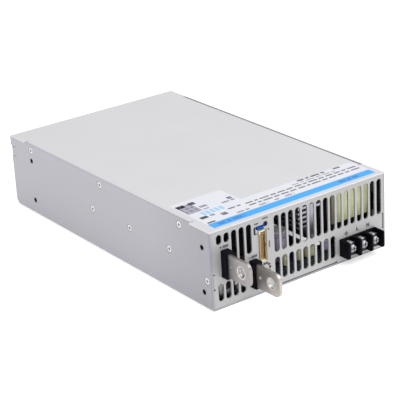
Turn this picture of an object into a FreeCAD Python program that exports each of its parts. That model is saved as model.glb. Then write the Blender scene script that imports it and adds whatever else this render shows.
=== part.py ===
import FreeCAD, Part
import math
import os

# Enclosed switching power supply. Millimetres, +Z up, +X to the right seen from the front, front towards -Y.
# The origin is the centre of the case's underside. Places are given from the left side and the front face.

# Case
case_width = 171.0
case_depth = 289.0
case_height = 63.5
chassis_sheet = 1.5
cover_sheet = 1.0
panel_sheet = 1.2
bend_inside = 0.5
sheet_gap = 0.1
fit_gap = 0.05
past = 1.0

# Cover
corner_tab_length = 25.0
relief_width = 0.8
relief_reach = 5.0
side_flange_height = 10.0
rear_lip_height = 8.5

# Chassis corners at the rear
rear_corner_cut = 4.5
rear_bend_relief = 4.0
rear_notch_down = 9.5
rear_notch_height = 8.0
rear_tab_setback = 0.6
rear_slit_width = 0.5
rear_slit_length = 6.5

# Countersunk screws through the side walls
wall_screw_head_radius = 2.6
wall_dimple_radius = 3.9
wall_dimple_depth = 0.3
wall_screw_shank_radius = 1.45
wall_screw_length = 5.0
recess_span = 3.0
recess_width = 1.1
recess_depth = 0.9
cover_screw_first = 38.2
cover_screw_pitch = 108.2
cover_screw_count = 3
cover_screw_down = 5.5
sink_screw_first = 53.0
sink_screw_pitch = 53.5
sink_screw_count = 3
sink_screw_height = 33.5

# Threaded mounting nuts pressed into the side walls
nut_first = 10.0
nut_pitch_along = 244.4
nut_low = 12.8
nut_pitch_up = 36.0
nut_thread_radius = 1.65
nut_sleeve_radius = 2.7
nut_flange_radius = 3.5
nut_flange_thickness = 2.5

# Front panel
ear_low = 17.5
ear_height = 11.0
ear_depth = 12.0
ear_screw_behind = 6.0
ear_relief = 1.0
bottom_ear_left = 58.0
bottom_ear_right = 119.7
panel_corner_round = 1.0
slot_width = 5.0
slot_top_down = 4.1
slot_pitch = 6.87
left_slot_first = 8.2
left_slot_count = 5
left_slot_short_low = 51.6
left_slot_tall_low = 25.6
left_slot_end_low = 35.7
left_lower_count = 4
left_lower_top = 20.6
right_slot_first = 61.8
right_slot_count = 16
right_slot_low = 29.4
right_lower_count = 9
right_lower_top = 25.2
lower_slot_low = 6.3

# Output bars and their bushings
bar_thickness = 2.5
bar_height = 18.5
bar_reach = 32.0
bar_tip_round = 5.5
bar_hole_radius = 4.25
bar_hole_reach = 21.8
bar_pilot_radius = 1.6
bar_pilot_reach = 9.0
bar_pitch_across = 25.6
bar_pitch_down = 16.3
bar_stagger = 1.4
bushing_left = 9.25
bushing_centre_height = 35.9
bushing_width = 7.2
bushing_height = 21.6
bushing_reach = 6.5
bushing_bar_wall = 1.45
bushing_edge_round = 0.6
bushing_neck_wall = 0.5
bushing_neck_length = 4.0
bar_inner_length = 22.0
bar_leg_front = 6.0
bar_foot_length = 12.0
bar_foot_thickness = 2.5
bar_bolt_radius = 1.95
bar_bolt_head_radius = 3.6
bar_bolt_head_height = 2.8
bar_bolt_length = 5.6

# Mains terminal block
terminal_left = 123.3
terminal_pitch = 11.75
terminal_wall = 1.6
terminal_poles = 3
terminal_low = 6.4
terminal_height = 13.8
terminal_reach = 11.4
terminal_corner_round = 1.5
terminal_base_reach = 5.5
terminal_base_height = 10.9
terminal_back_wall = 1.6
terminal_neck_inset = 1.6
terminal_neck_length = 6.0
plate_thickness = 0.8
plate_width = 6.6
plate_rise = 1.5
tab_width = 4.2
tab_landing = 9.5
washer_radius = 3.4
washer_thickness = 0.8
terminal_screw_rise = 7.2
terminal_screw_radius = 1.95
terminal_screw_length = 5.6
terminal_head_radius = 3.1
terminal_head_height = 2.4
terminal_recess_span = 4.2
terminal_recess_width = 0.9
terminal_recess_depth = 1.5

# Boards
floor_film = 0.4
film_gap = 0.8
film_fold_radius = 1.2
board_lift = 6.5
board_thickness = 1.6
board_side_gap = 6.0
board_front_gap = 5.0
board_rear_gap = 34.0
standoff_radius = 3.0
standoff_bore_radius = 1.3
standoff_film_gap = 0.3
standoff_places = [(13.5, 32.0), (13.5, 130.0), (13.5, 246.0), (88.0, 92.0), (88.0, 246.0),
                   (157.5, 56.0), (157.5, 130.0), (157.5, 246.0)]
board_screw_radius = 1.25
board_screw_head_radius = 2.7
board_screw_head_height = 2.0
board_screw_length = 5.0
control_board_left = 43.2
control_board_front_gap = 0.3
control_board_depth = 60.0
control_board_head_gap = 4.0

# Signal connector
connector_width = 6.2
connector_low = 26.2
connector_height = 25.1
connector_reach = 0.8
connector_body_depth = 8.5
connector_wall = 0.9
connector_side_gap = 1.3
connector_socket_depth = 6.2
connector_edge_round = 0.4
connector_key_width = 3.0
connector_key_depth = 0.5
pin_rows = 2
pins_per_row = 11
pin_pitch = 2.0
pin_size = 0.5
pin_length = 4.2

# Voltage trimmer, lamp and sounder
adjust_left = 40.2
adjust_right = 49.8
adjust_low = 48.9
adjust_top = 55.5
adjust_round = 1.2
rotor_across = 51.4
rotor_height = 55.5
rotor_radius = 1.65
rotor_window_radius = 2.0
rotor_reach = 0.5
rotor_slot_width = 0.5
rotor_slot_depth = 0.6
trimmer_low = 52.5
trimmer_width = 10.6
trimmer_height = 5.5
trimmer_depth = 8.0
trimmer_nose_width = 5.9
trimmer_nose_height = 2.3
trimmer_nose_reach = 0.35
trimmer_nose_left = 43.4
trimmer_socket_depth = 3.0
lamp_across = 54.2
lamp_height = 50.5
lamp_radius = 0.7
lamp_reach = 0.5
lamp_collar_radius = 1.2
lamp_length = 6.0
lamp_lead_radius = 0.3
lamp_lead_spread = 0.6
lamp_lead_back = 12.0
sounder_across = 50.4
sounder_height = 19.4
sounder_radius = 5.2
sounder_length = 7.0
sounder_ring_radius = 4.1
sounder_hole_radius = 1.1
sounder_hole_count = 10
sounder_port_radius = 0.9
sounder_port_depth = 1.5

# Fans
fan_pitch_across = 84.0
fan_clearance = 0.5
fan_length = 25.0
fan_corner_round = 3.0
fan_duct_wall = 1.4
fan_tube_wall = 1.3
fan_flange_thickness = 4.0
fan_hole_inset = 5.0
fan_hole_radius = 1.7
fan_strut_width = 3.0
fan_strut_thickness = 3.0
fan_plate_radius = 13.5
fan_bearing_radius = 3.5
fan_bearing_length = 14.0
fan_shaft_radius = 1.5
fan_stator_radius = 11.2
fan_stator_length = 8.0
fan_stator_lift = 2.0
fan_hub_radius = 14.5
fan_hub_wall = 1.3
fan_hub_length = 18.0
fan_hub_lift = 0.8
fan_blades = 7
fan_blade_chord = 17.0
fan_blade_thickness = 1.2
fan_root_pitch = 52.0
fan_tip_pitch = 34.0
fan_tip_gap = 0.7
fan_screw_head_radius = 3.1
fan_screw_shank_radius = 1.65
fan_screw_length = 10.0
guard_hub_radius = 7.0
guard_slot_width = 4.2
guard_rib_width = 1.6
guard_rings = 4
guard_spoke_width = 3.0
lead_radius = 1.1
lead_offset = 20.0
lead_height = 26.0
header_width = 8.0
header_depth = 6.0
header_height = 8.0
header_behind = 241.0

# Heat sinks and what is fixed to them
side_sink_thickness = 3.5
side_sink_low = 10.0
side_sink_top = 48.0
side_sink_front = 46.0
side_sink_length = 126.0
side_sink_foot = 2.6
transistor_width = 15.8
transistor_height = 20.0
transistor_thickness = 5.0
transistor_lift = 6.0
transistor_places = [62.0, 82.0, 108.0, 144.0]
transistor_lead_width = 1.2
transistor_lead_thickness = 0.6
transistor_lead_pitch = 5.4
transistor_hole_radius = 1.8
bridge_width = 30.0
bridge_height = 20.0
bridge_places = [78.0, 114.0]
centre_sink_left = 101.0
centre_sink_thickness = 5.0
centre_sink_front = 9.0
centre_sink_length = 74.0
centre_sink_top = 53.5
fin_count = 5
fin_length = 10.6
fin_thickness = 1.8
fin_pitch = 3.85
fin_top_gap = 0.4
low_fin_height = 25.6
low_fin_length = 5.0
top_flange_length = 8.0
top_flange_drop = 1.8
sink_undercut_depth = 15.0
sink_undercut_height = 13.0

# Parts on the main board
film_box_width = 10.0
film_box_depth = 7.5
film_box_height = 9.5
film_box_round = 0.8
film_box_behind = 10.0
film_box_places = [76.0, 91.0, 104.0]
mains_box_width = 26.0
mains_box_depth = 12.0
mains_box_height = 21.0
mains_box_places = [(138.0, 62.0), (138.0, 78.0)]
small_can_radius = 8.0
small_can_height = 24.0
small_can_places = [(66.0, 28.0), (66.0, 46.0), (66.0, 64.0), (84.5, 28.0), (84.5, 46.0), (84.5, 64.0)]
large_can_radius = 15.0
large_can_height = 45.0
large_can_places = [(62.0, 172.0), (96.0, 172.0), (130.0, 172.0), (62.0, 206.0), (96.0, 206.0),
                    (130.0, 206.0)]
can_groove_depth = 0.8
can_groove_down = 3.5
can_groove_width = 1.6
can_rim = 0.6
line_choke_left = 128.0
line_choke_front = 13.5
line_coil_width = 37.6
line_coil_depth = 31.0
line_coil_height = 28.5
line_coil_round = 4.0
line_base_height = 18.5
line_base_inset = 3.0
line_core_bar_depth = 12.0
line_core_bar_height = 10.0
line_core_end_left = 2.6
line_core_end_right = 2.6
line_core_end_inset = 3.0
boost_left = 112.0
boost_front = 98.0
transformer_left = 30.0
transformer_front = 92.0
wound_width = 40.0
wound_depth = 42.0
wound_core_height = 38.0
wound_leg = 9.0
wound_core_depth = 20.0
wound_coil_round = 5.0
wound_gap = 0.3
ring_outer_radius = 11.5
ring_inner_radius = 4.0
ring_height = 17.0
ring_round = 3.0
ring_places = [(28.0, 42.0), (28.0, 68.0)]
relay_left = 114.0
relay_front = 56.0
relay_width = 8.5
relay_depth = 20.0
relay_height = 24.0
relay_round = 0.8
fuse_across = 121.0
fuse_front = 12.0
fuse_length = 32.0
fuse_radius = 3.0
fuse_cap_radius = 3.25
fuse_cap_length = 6.0
fuse_lift = 5.0
fuse_clip_width = 1.4
fuse_clip_inset = 2.0

# Label on the cover
label_left = 7.5
label_right = 166.0
label_near = 3.6
label_far = 35.6
label_step_across = 54.8
label_step_far = 60.5
label_thickness = 0.15

directions = {
    "x": FreeCAD.Vector(1, 0, 0),
    "y": FreeCAD.Vector(0, 1, 0),
    "z": FreeCAD.Vector(0, 0, 1),
    "left": FreeCAD.Vector(-1, 0, 0),
    "right": FreeCAD.Vector(1, 0, 0),
    "front": FreeCAD.Vector(0, -1, 0),
    "rear": FreeCAD.Vector(0, 1, 0),
    "up": FreeCAD.Vector(0, 0, 1),
}


def across(distance):
    return distance - case_width / 2


def behind(distance):
    return distance - case_depth / 2


# Levels and faces that several pieces share
half_width = case_width / 2
wall_inside = half_width - chassis_sheet
front_face = behind(0)
rear_face = behind(case_depth)
chassis_rear = rear_face - cover_sheet - sheet_gap
panel_back = front_face + panel_sheet
cover_under = case_height - cover_sheet
panel_half = wall_inside - sheet_gap
panel_low = chassis_sheet + sheet_gap
panel_top = cover_under - sheet_gap
cover_screw_height = case_height - cover_screw_down
slot_top = case_height - slot_top_down
rear_notch = case_height - rear_notch_down - rear_notch_height, case_height - rear_notch_down
terminal_screw_height = terminal_low + terminal_screw_rise
control_right = across(control_board_left) + board_thickness
control_front = panel_back + control_board_front_gap
board_low = chassis_sheet + board_lift - board_thickness
board_top = chassis_sheet + board_lift
bend_outside = bend_inside + chassis_sheet
fan_size = case_height - chassis_sheet - cover_sheet - 2 * fan_clearance
fan_height = chassis_sheet + fan_clearance + fan_size / 2
fan_rear = chassis_rear - chassis_sheet
fan_front = fan_rear - fan_length
fan_centres = [-fan_pitch_across / 2, fan_pitch_across / 2]
fan_duct_radius = fan_size / 2 - fan_duct_wall
bar_places = [(bushing_left, bushing_centre_height),
              (bushing_left + bar_pitch_across, bushing_centre_height - bar_pitch_down)]


def block(x_span, y_span, z_span):
    corner = FreeCAD.Vector(x_span[0], y_span[0], z_span[0])
    return Part.makeBox(x_span[1] - x_span[0], y_span[1] - y_span[0], z_span[1] - z_span[0], corner)


def rod(axis, start, radius, length):
    return Part.makeCylinder(radius, length, FreeCAD.Vector(*start), directions[axis])


def joined(pieces):
    whole = pieces[0].multiFuse(pieces[1:]) if len(pieces) > 1 else pieces[0]
    return whole.removeSplitter()


def without(piece, tools):
    return piece.cut(Part.makeCompound(tools))


def level_point(axis, first, second, level):
    ordered = {"x": (level, first, second), "y": (first, level, second), "z": (first, second, level)}
    return FreeCAD.Vector(*ordered[axis])


# A closed outline across an axis, each corner (first, second) or (first, second, radius), drawn out along it
def profile(axis, corners, start, end):
    count = len(corners)
    trims = []
    for index, corner in enumerate(corners):
        here = FreeCAD.Vector(corner[0], corner[1], 0)
        back = (FreeCAD.Vector(*corners[index - 1][:2], 0) - here).normalize()
        ahead = (FreeCAD.Vector(*corners[(index + 1) % count][:2], 0) - here).normalize()
        radius = corner[2] if len(corner) > 2 else 0
        half_turn = back.getAngle(ahead) / 2
        if radius:
            reach = radius / math.tan(half_turn)
            middle = here + (back + ahead).normalize() * (radius / math.sin(half_turn) - radius)
            trims.append([here + back * reach, middle, here + ahead * reach])
        else:
            trims.append([here])
    edges = []
    for index, trim in enumerate(trims):
        placed_trim = [level_point(axis, point.x, point.y, start) for point in trim]
        following = trims[(index + 1) % count][0]
        following = level_point(axis, following.x, following.y, start)
        if len(placed_trim) > 1:
            edges.append(Part.Arc(*placed_trim).toShape())
        if (following - placed_trim[-1]).Length > sheet_gap * sheet_gap:
            edges.append(Part.LineSegment(placed_trim[-1], following).toShape())
    return Part.Face(Part.Wire(edges)).extrude(directions[axis] * (end - start))


def rounded_rectangle(first_span, second_span, radius):
    return [(first_span[0], second_span[0], radius), (first_span[1], second_span[0], radius),
            (first_span[1], second_span[1], radius), (first_span[0], second_span[1], radius)]


# A turned piece standing on the origin along +Z, given as (height, radius) steps from its foot to its top
def turned(steps, bore_radius=0):
    points = [FreeCAD.Vector(bore_radius, 0, steps[0][0])]
    points += [FreeCAD.Vector(radius, 0, height) for height, radius in steps]
    points += [FreeCAD.Vector(bore_radius, 0, steps[-1][0]), points[0]]
    return Part.Face(Part.makePolygon(points)).revolve(FreeCAD.Vector(0, 0, 0), directions["z"], 360)


# Turns a piece made along +Z to face a side of the case, and moves its origin to a point
def facing(piece, side, point):
    turn = FreeCAD.Rotation(directions["z"], directions[side])
    return piece.transformed(FreeCAD.Placement(FreeCAD.Vector(*point), turn).toMatrix(), True)


def cross_recess(top, span, width, depth):
    first = block((-span / 2, span / 2), (-width / 2, width / 2), (top - depth, top + past))
    second = block((-width / 2, width / 2), (-span / 2, span / 2), (top - depth, top + past))
    return first.fuse(second)


# Screw with its flat top on the origin's plane, head and shank below
def countersunk_screw(head_radius, shank_radius, length):
    slope = head_radius - shank_radius
    body = turned([(-length, shank_radius), (-slope, shank_radius), (0, head_radius)])
    return body.cut(cross_recess(0, recess_span, recess_width, recess_depth))


# Screw with the underside of its head on the origin's plane
def pan_screw(shank_radius, length, head_radius, head_height, span, width, depth):
    body = turned([(-length, shank_radius), (0, shank_radius), (0, head_radius),
                   (head_height * 0.6, head_radius), (head_height, head_radius * 0.72)])
    return body.cut(cross_recess(head_height, span, width, depth))


def countersunk_hole(head_radius, shank_radius, length):
    slope = head_radius - shank_radius
    return turned([(-length, shank_radius + fit_gap), (-slope - fit_gap, shank_radius + fit_gap),
                   (0, head_radius), (past, head_radius)])


# The places on the two side walls, as (side, point on the wall's outer face)
def wall_places(distances, heights):
    return [(side, (sign * half_width, behind(distance), height))
            for side, sign in (("left", -1), ("right", 1))
            for distance in distances for height in heights]


def spaced(first, pitch, count):
    return [first + pitch * index for index in range(count)]


cover_screw_places = wall_places(spaced(cover_screw_first, cover_screw_pitch, cover_screw_count),
                                 [cover_screw_height])
sink_screw_places = wall_places(spaced(sink_screw_first, sink_screw_pitch, sink_screw_count),
                                [sink_screw_height])
ear_screw_places = wall_places([ear_screw_behind], [ear_low + ear_height / 2])
nut_places = wall_places(spaced(nut_first, nut_pitch_along, 2), spaced(nut_low, nut_pitch_up, 2))
fan_screw_reach = fan_size / 2 - fan_hole_inset
fan_screw_places = [(centre + right * fan_screw_reach, chassis_rear, fan_height + up * fan_screw_reach)
                    for centre in fan_centres for right in (-1, 1) for up in (-1, 1)]


def wall_screws(places):
    screw = countersunk_screw(wall_screw_head_radius, wall_screw_shank_radius,
                              wall_screw_length - wall_dimple_depth)
    screw.translate(FreeCAD.Vector(0, 0, -wall_dimple_depth))
    return Part.makeCompound([facing(screw, side, point) for side, point in places])


def wall_screw_holes(places):
    hole = countersunk_hole(wall_screw_head_radius, wall_screw_shank_radius, wall_screw_length + past)
    hole.translate(FreeCAD.Vector(0, 0, -wall_dimple_depth))
    dimple = turned([(-wall_dimple_depth, wall_screw_head_radius), (0, wall_dimple_radius),
                     (past, wall_dimple_radius)])
    return [facing(hole.fuse(dimple), side, point) for side, point in places]


# Ring slots of one fan guard, punched through the rear wall and broken by four spokes
def guard_slots(centre):
    wall = (chassis_rear - chassis_sheet - past, chassis_rear + past)
    start = (centre, wall[0], fan_height)
    slots = []
    for index in range(guard_rings):
        inner = guard_hub_radius + index * (guard_slot_width + guard_rib_width)
        ring = rod("y", start, inner + guard_slot_width, wall[1] - wall[0])
        slots.append(ring.cut(rod("y", start, inner, wall[1] - wall[0])))
    reach = fan_size / 2
    spoke = block((-reach, reach), wall, (-guard_spoke_width / 2, guard_spoke_width / 2))
    spokes = []
    for turn in (45, 135):
        turned_spoke = spoke.copy()
        turned_spoke.rotate(FreeCAD.Vector(0, 0, 0), directions["y"], turn)
        turned_spoke.translate(FreeCAD.Vector(centre, 0, fan_height))
        spokes.append(turned_spoke)
    return without(Part.makeCompound(slots), spokes)


def chassis():
    section = [(-half_width, case_height), (-half_width, 0, bend_outside),
               (half_width, 0, bend_outside), (half_width, case_height),
               (wall_inside, case_height), (wall_inside, chassis_sheet, bend_inside),
               (-wall_inside, chassis_sheet, bend_inside), (-wall_inside, case_height)]
    channel = profile("y", section, front_face, chassis_rear)
    tab_seat = (cover_under - sheet_gap, case_height + past)
    rear_wall_top = cover_under - sheet_gap - bend_inside
    full_width = (-half_width - past, half_width + past)
    cuts = [block(full_width, (front_face - past, front_face + corner_tab_length), tab_seat),
            block(full_width, (rear_face - corner_tab_length, chassis_rear + past), tab_seat)]
    cuts.append(block((-wall_inside + bend_inside, wall_inside - bend_inside),
                      (chassis_rear - rear_corner_cut, chassis_rear + past), (-past, rear_corner_cut)))
    cuts.append(profile("x", [(chassis_rear - rear_corner_cut, -past), (chassis_rear + past, -past),
                              (chassis_rear + past, rear_corner_cut), (chassis_rear, rear_corner_cut),
                              (chassis_rear - rear_corner_cut, 0)], *full_width))
    cuts.append(block(full_width, (chassis_rear - chassis_sheet - sheet_gap, chassis_rear + past),
                      rear_notch))
    cuts.append(block(full_width, (chassis_rear - bend_inside, chassis_rear + past),
                      (rear_wall_top, case_height + past)))
    cuts += [block(full_width, (chassis_rear - rear_slit_length, chassis_rear + past),
                   (height, height + rear_slit_width))
             for height in (rear_notch[0] - rear_slit_width, rear_notch[1])]
    channel = without(channel, cuts)

    rear_half = wall_inside - sheet_gap
    turn = [(chassis_rear - rear_corner_cut, 0), (chassis_rear, 0, bend_outside),
            (chassis_rear, rear_corner_cut + past), (chassis_rear - chassis_sheet, rear_corner_cut + past),
            (chassis_rear - chassis_sheet, chassis_sheet, bend_inside),
            (chassis_rear - rear_corner_cut, chassis_sheet)]
    bend_half = wall_inside - rear_bend_relief
    rear_wall = block((-rear_half, rear_half), (chassis_rear - chassis_sheet, chassis_rear),
                      (rear_corner_cut + past, rear_wall_top))
    tabs = [block((sign * rear_half, sign * (half_width - sheet_gap)) if sign > 0
                  else (sign * (half_width - sheet_gap), sign * rear_half),
                  (chassis_rear - chassis_sheet, chassis_rear - rear_tab_setback),
                  (rear_notch[0] + sheet_gap, rear_notch[1] - sheet_gap)) for sign in (-1, 1)]
    body = joined([channel, profile("x", turn, -bend_half, bend_half), rear_wall] + tabs)

    holes = [guard_slots(centre) for centre in fan_centres]
    fan_hole = countersunk_hole(fan_screw_head_radius, fan_screw_shank_radius, chassis_sheet + past)
    holes += [facing(fan_hole, "rear", point) for point in fan_screw_places]
    holes += wall_screw_holes(cover_screw_places + sink_screw_places + ear_screw_places)
    nut_hole = rod("z", (0, 0, -chassis_sheet - past), nut_sleeve_radius + fit_gap, chassis_sheet + 2 * past)
    holes += [facing(nut_hole, side, point) for side, point in nut_places]
    return without(body, holes)


def cover():
    half_fold = wall_inside - sheet_gap
    turn_outside = bend_inside + cover_sheet
    flange_low = cover_under - side_flange_height + cover_sheet
    fold_front = front_face + corner_tab_length + relief_width
    fold_rear = rear_face - corner_tab_length - relief_width
    section = [(-half_fold, flange_low), (-half_fold, case_height, turn_outside),
               (half_fold, case_height, turn_outside), (half_fold, flange_low),
               (half_fold - cover_sheet, flange_low), (half_fold - cover_sheet, cover_under, bend_inside),
               (-half_fold + cover_sheet, cover_under, bend_inside), (-half_fold + cover_sheet, flange_low)]
    thickness = (cover_under, case_height)
    lip_start = rear_face - turn_outside
    flat_half = half_fold - turn_outside
    front_tabs = block((-half_width, half_width), (front_face, front_face + corner_tab_length - sheet_gap),
                       thickness)
    rear_tabs = block((-half_width, half_width), (rear_face - corner_tab_length + sheet_gap, lip_start),
                      thickness)
    middle = block((-flat_half, flat_half), (front_face, lip_start), thickness)
    lip = profile("x", [(lip_start, case_height), (rear_face, case_height, turn_outside),
                        (rear_face, case_height - rear_lip_height),
                        (rear_face - cover_sheet, case_height - rear_lip_height),
                        (rear_face - cover_sheet, cover_under, bend_inside), (lip_start, cover_under)],
                  -half_width, half_width)
    windows = [rod("y", (centre, chassis_rear, fan_height), fan_size / 2, cover_sheet + past)
               for centre in fan_centres]
    windows += [block((centre - fan_screw_reach - fan_screw_head_radius - past,
                       centre + fan_screw_reach + fan_screw_head_radius + past),
                      (chassis_rear, rear_face + past),
                      (case_height - rear_lip_height - past, fan_height + fan_screw_reach
                       + fan_screw_head_radius + sheet_gap)) for centre in fan_centres]
    lip = without(lip, windows)
    sheet = joined([profile("y", section, fold_front, fold_rear), front_tabs, rear_tabs, middle, lip])
    tapped = rod("z", (0, 0, -wall_screw_length - past), wall_screw_shank_radius + fit_gap, wall_screw_length)
    cuts = [facing(tapped, side, point) for side, point in cover_screw_places]
    for start in (fold_front - relief_width, fold_rear):
        for x_span in ((-half_width, relief_reach - half_width), (half_width - relief_reach, half_width)):
            cuts.append(block(x_span, (start, start + relief_width),
                              (cover_under - past, case_height + past)))
    return without(sheet, cuts)


# A vertical slot with round ends, cut through the front panel
def panel_slot(distance, low, top):
    spans = (across(distance) - slot_width / 2, across(distance) + slot_width / 2), (low, top)
    return profile("y", rounded_rectangle(*spans, slot_width / 2), front_face - past, panel_back + past)


def panel_slots():
    left_lows = [left_slot_short_low] * 2 + [left_slot_tall_low] * 2 + [left_slot_end_low]
    left = [panel_slot(place, low, slot_top)
            for place, low in zip(spaced(left_slot_first, slot_pitch, left_slot_count), left_lows)]
    left += [panel_slot(place, lower_slot_low, left_lower_top)
             for place in spaced(left_slot_first, slot_pitch, left_lower_count)]
    right = [panel_slot(place, right_slot_low, slot_top)
             for place in spaced(right_slot_first, slot_pitch, right_slot_count)]
    right += [panel_slot(place, lower_slot_low, right_lower_top)
              for place in spaced(right_slot_first, slot_pitch, right_lower_count)]
    return left + right


def bushing_spans(place, inset=0.0):
    left, height = place
    return ((across(left) + inset, across(left + bushing_width) - inset),
            (height - bushing_height / 2 + inset, height + bushing_height / 2 - inset))


def terminal_spans():
    width = terminal_poles * terminal_pitch + terminal_wall
    return ((across(terminal_left), across(terminal_left) + width),
            (terminal_low, terminal_low + terminal_height))


def front_panel():
    turn_outside = bend_inside + panel_sheet
    sheet = profile("y", [(-panel_half, panel_low, panel_corner_round),
                          (panel_half, panel_low, panel_corner_round),
                          (panel_half, panel_top), (-panel_half, panel_top)], front_face, panel_back)
    ear_top = ear_low + ear_height
    inner = panel_half - turn_outside
    bottom_span = across(bottom_ear_left), across(bottom_ear_right)
    depth = front_face - past, panel_back + past
    trims = [block((sign * panel_half if sign < 0 else inner, -inner if sign < 0 else panel_half), depth,
                   (ear_low - ear_relief, ear_top + ear_relief)) for sign in (-1, 1)]
    trims.append(block((bottom_span[0] - ear_relief, bottom_span[1] + ear_relief), depth,
                       (panel_low - past, panel_low + turn_outside)))
    ear_end = front_face + ear_depth
    side_ears = [profile("z", [(sign * inner, front_face), (sign * panel_half, front_face, turn_outside),
                               (sign * panel_half, ear_end), (sign * (panel_half - panel_sheet), ear_end),
                               (sign * (panel_half - panel_sheet), panel_back, bend_inside),
                               (sign * inner, panel_back)], ear_low, ear_top) for sign in (-1, 1)]
    bottom_ear = profile("x", [(front_face, panel_low + turn_outside), (front_face, panel_low, turn_outside),
                               (ear_end, panel_low), (ear_end, panel_low + panel_sheet),
                               (panel_back, panel_low + panel_sheet, bend_inside),
                               (panel_back, panel_low + turn_outside)], *bottom_span)
    sheet = joined([without(sheet, trims)] + side_ears + [bottom_ear])

    cuts = panel_slots()
    cuts += [profile("y", rounded_rectangle(*bushing_spans(place, bushing_neck_wall - fit_gap),
                                            bushing_edge_round),
                     *depth) for place in bar_places]
    spans = terminal_spans()
    neck = [(span[0] + terminal_neck_inset - fit_gap, span[1] - terminal_neck_inset + fit_gap)
            for span in spans]
    cuts.append(block(neck[0], depth, neck[1]))
    connector = (control_right - fit_gap, control_right + connector_width + connector_side_gap)
    cuts.append(block(connector, depth,
                      (connector_low - fit_gap, connector_low + connector_height + fit_gap)))
    cuts.append(profile("y", rounded_rectangle((across(adjust_left), across(adjust_right)),
                                               (adjust_low, adjust_top), adjust_round), *depth))
    cuts.append(rod("y", (across(rotor_across), depth[0], rotor_height), rotor_window_radius,
                    depth[1] - depth[0]))
    cuts.append(rod("y", (across(lamp_across), depth[0], lamp_height), lamp_radius + fit_gap,
                    depth[1] - depth[0]))
    for index in range(sounder_hole_count):
        turn = 2 * math.pi * index / sounder_hole_count
        place = (across(sounder_across) + sounder_ring_radius * math.cos(turn), depth[0],
                 sounder_height + sounder_ring_radius * math.sin(turn))
        cuts.append(rod("y", place, sounder_hole_radius, depth[1] - depth[0]))
    tapped = rod("z", (0, 0, -wall_screw_length - past), wall_screw_shank_radius + fit_gap, wall_screw_length)
    cuts += [facing(tapped, side, point) for side, point in ear_screw_places]
    return without(sheet, cuts)


def mounting_nuts():
    nut = turned([(-chassis_sheet - nut_flange_thickness, nut_flange_radius),
                  (-chassis_sheet, nut_flange_radius),
                  (-chassis_sheet, nut_sleeve_radius), (0, nut_sleeve_radius)], nut_thread_radius)
    return Part.makeCompound([facing(nut, side, point) for side, point in nut_places])


def fan_screws():
    screw = countersunk_screw(fan_screw_head_radius, fan_screw_shank_radius - fit_gap, fan_screw_length)
    return Part.makeCompound([facing(screw, "rear", point) for point in fan_screw_places])


def board_spans():
    return ((-half_width + board_side_gap, half_width - board_side_gap),
            (front_face + board_front_gap, rear_face - board_rear_gap))


def insulation_film():
    x_span, y_span = board_spans()
    front = panel_back + film_gap
    top = cover_under - film_gap
    film_top = chassis_sheet + floor_film
    inside = wall_inside - floor_film
    low = ear_low + ear_height + ear_relief + film_gap
    sheet = profile("y", [(-wall_inside, top), (-wall_inside, chassis_sheet, film_fold_radius),
                          (wall_inside, chassis_sheet, film_fold_radius), (wall_inside, top), (inside, top),
                          (inside, film_top, film_fold_radius - floor_film),
                          (-inside, film_top, film_fold_radius - floor_film), (-inside, top)],
                    front, y_span[1])
    cuts = [block((-half_width, half_width), (front - past, front_face + ear_depth + past), (-past, low)),
            block((-half_width, half_width), (front_face + corner_tab_length, y_span[1] + past),
                  (cover_under - side_flange_height, top + past)),
            block((-half_width, half_width), (behind(side_sink_front) - film_gap, y_span[1] + past),
                  (film_top, top + past))]
    nut_hole = rod("z", (0, 0, past - chassis_sheet - nut_flange_thickness - floor_film),
                   nut_flange_radius + film_gap, chassis_sheet + nut_flange_thickness + floor_film)
    cuts += [facing(nut_hole, side, point) for side, point in nut_places]
    cuts += [rod("z", (across(x), behind(y), 0), standoff_radius + standoff_film_gap, board_low)
             for x, y in standoff_places]
    return without(sheet, cuts)


def board_standoffs():
    pillar = turned([(chassis_sheet, standoff_radius), (board_low, standoff_radius)], standoff_bore_radius)
    return Part.makeCompound([facing(pillar, "up", (across(x), behind(y), 0)) for x, y in standoff_places])


def board_screws():
    screw = pan_screw(board_screw_radius, board_screw_length, board_screw_head_radius,
                      board_screw_head_height,
                      recess_span, recess_width, recess_depth)
    return Part.makeCompound([facing(screw, "up", (across(x), behind(y), board_top))
                              for x, y in standoff_places])


def main_board():
    sheet = block(*board_spans(), (board_low, board_top))
    holes = [rod("z", (across(x), behind(y), 0), board_screw_radius + fit_gap, board_top + past)
             for x, y in standoff_places]
    for index, place in enumerate(bar_places):
        holes.append(rod("z", (*bar_foot_centre(index, place), 0), bar_bolt_radius + fit_gap,
                         board_top + past))
    return without(sheet, holes)


def bar_left(place):
    return across(place[0]) + bushing_bar_wall


# The first bar's foot points right and the second one's left, so that both lie between the bars
def bar_foot_span(index, place):
    left = bar_left(place)
    if index == 0:
        return left, left + bar_foot_length
    return left + bar_thickness - bar_foot_length, left + bar_thickness


def bar_foot_centre(index, place):
    span = bar_foot_span(index, place)
    shift = bar_thickness / 2 if index == 0 else -bar_thickness / 2
    return (span[0] + span[1]) / 2 + shift, behind((bar_leg_front + bar_inner_length) / 2)


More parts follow.
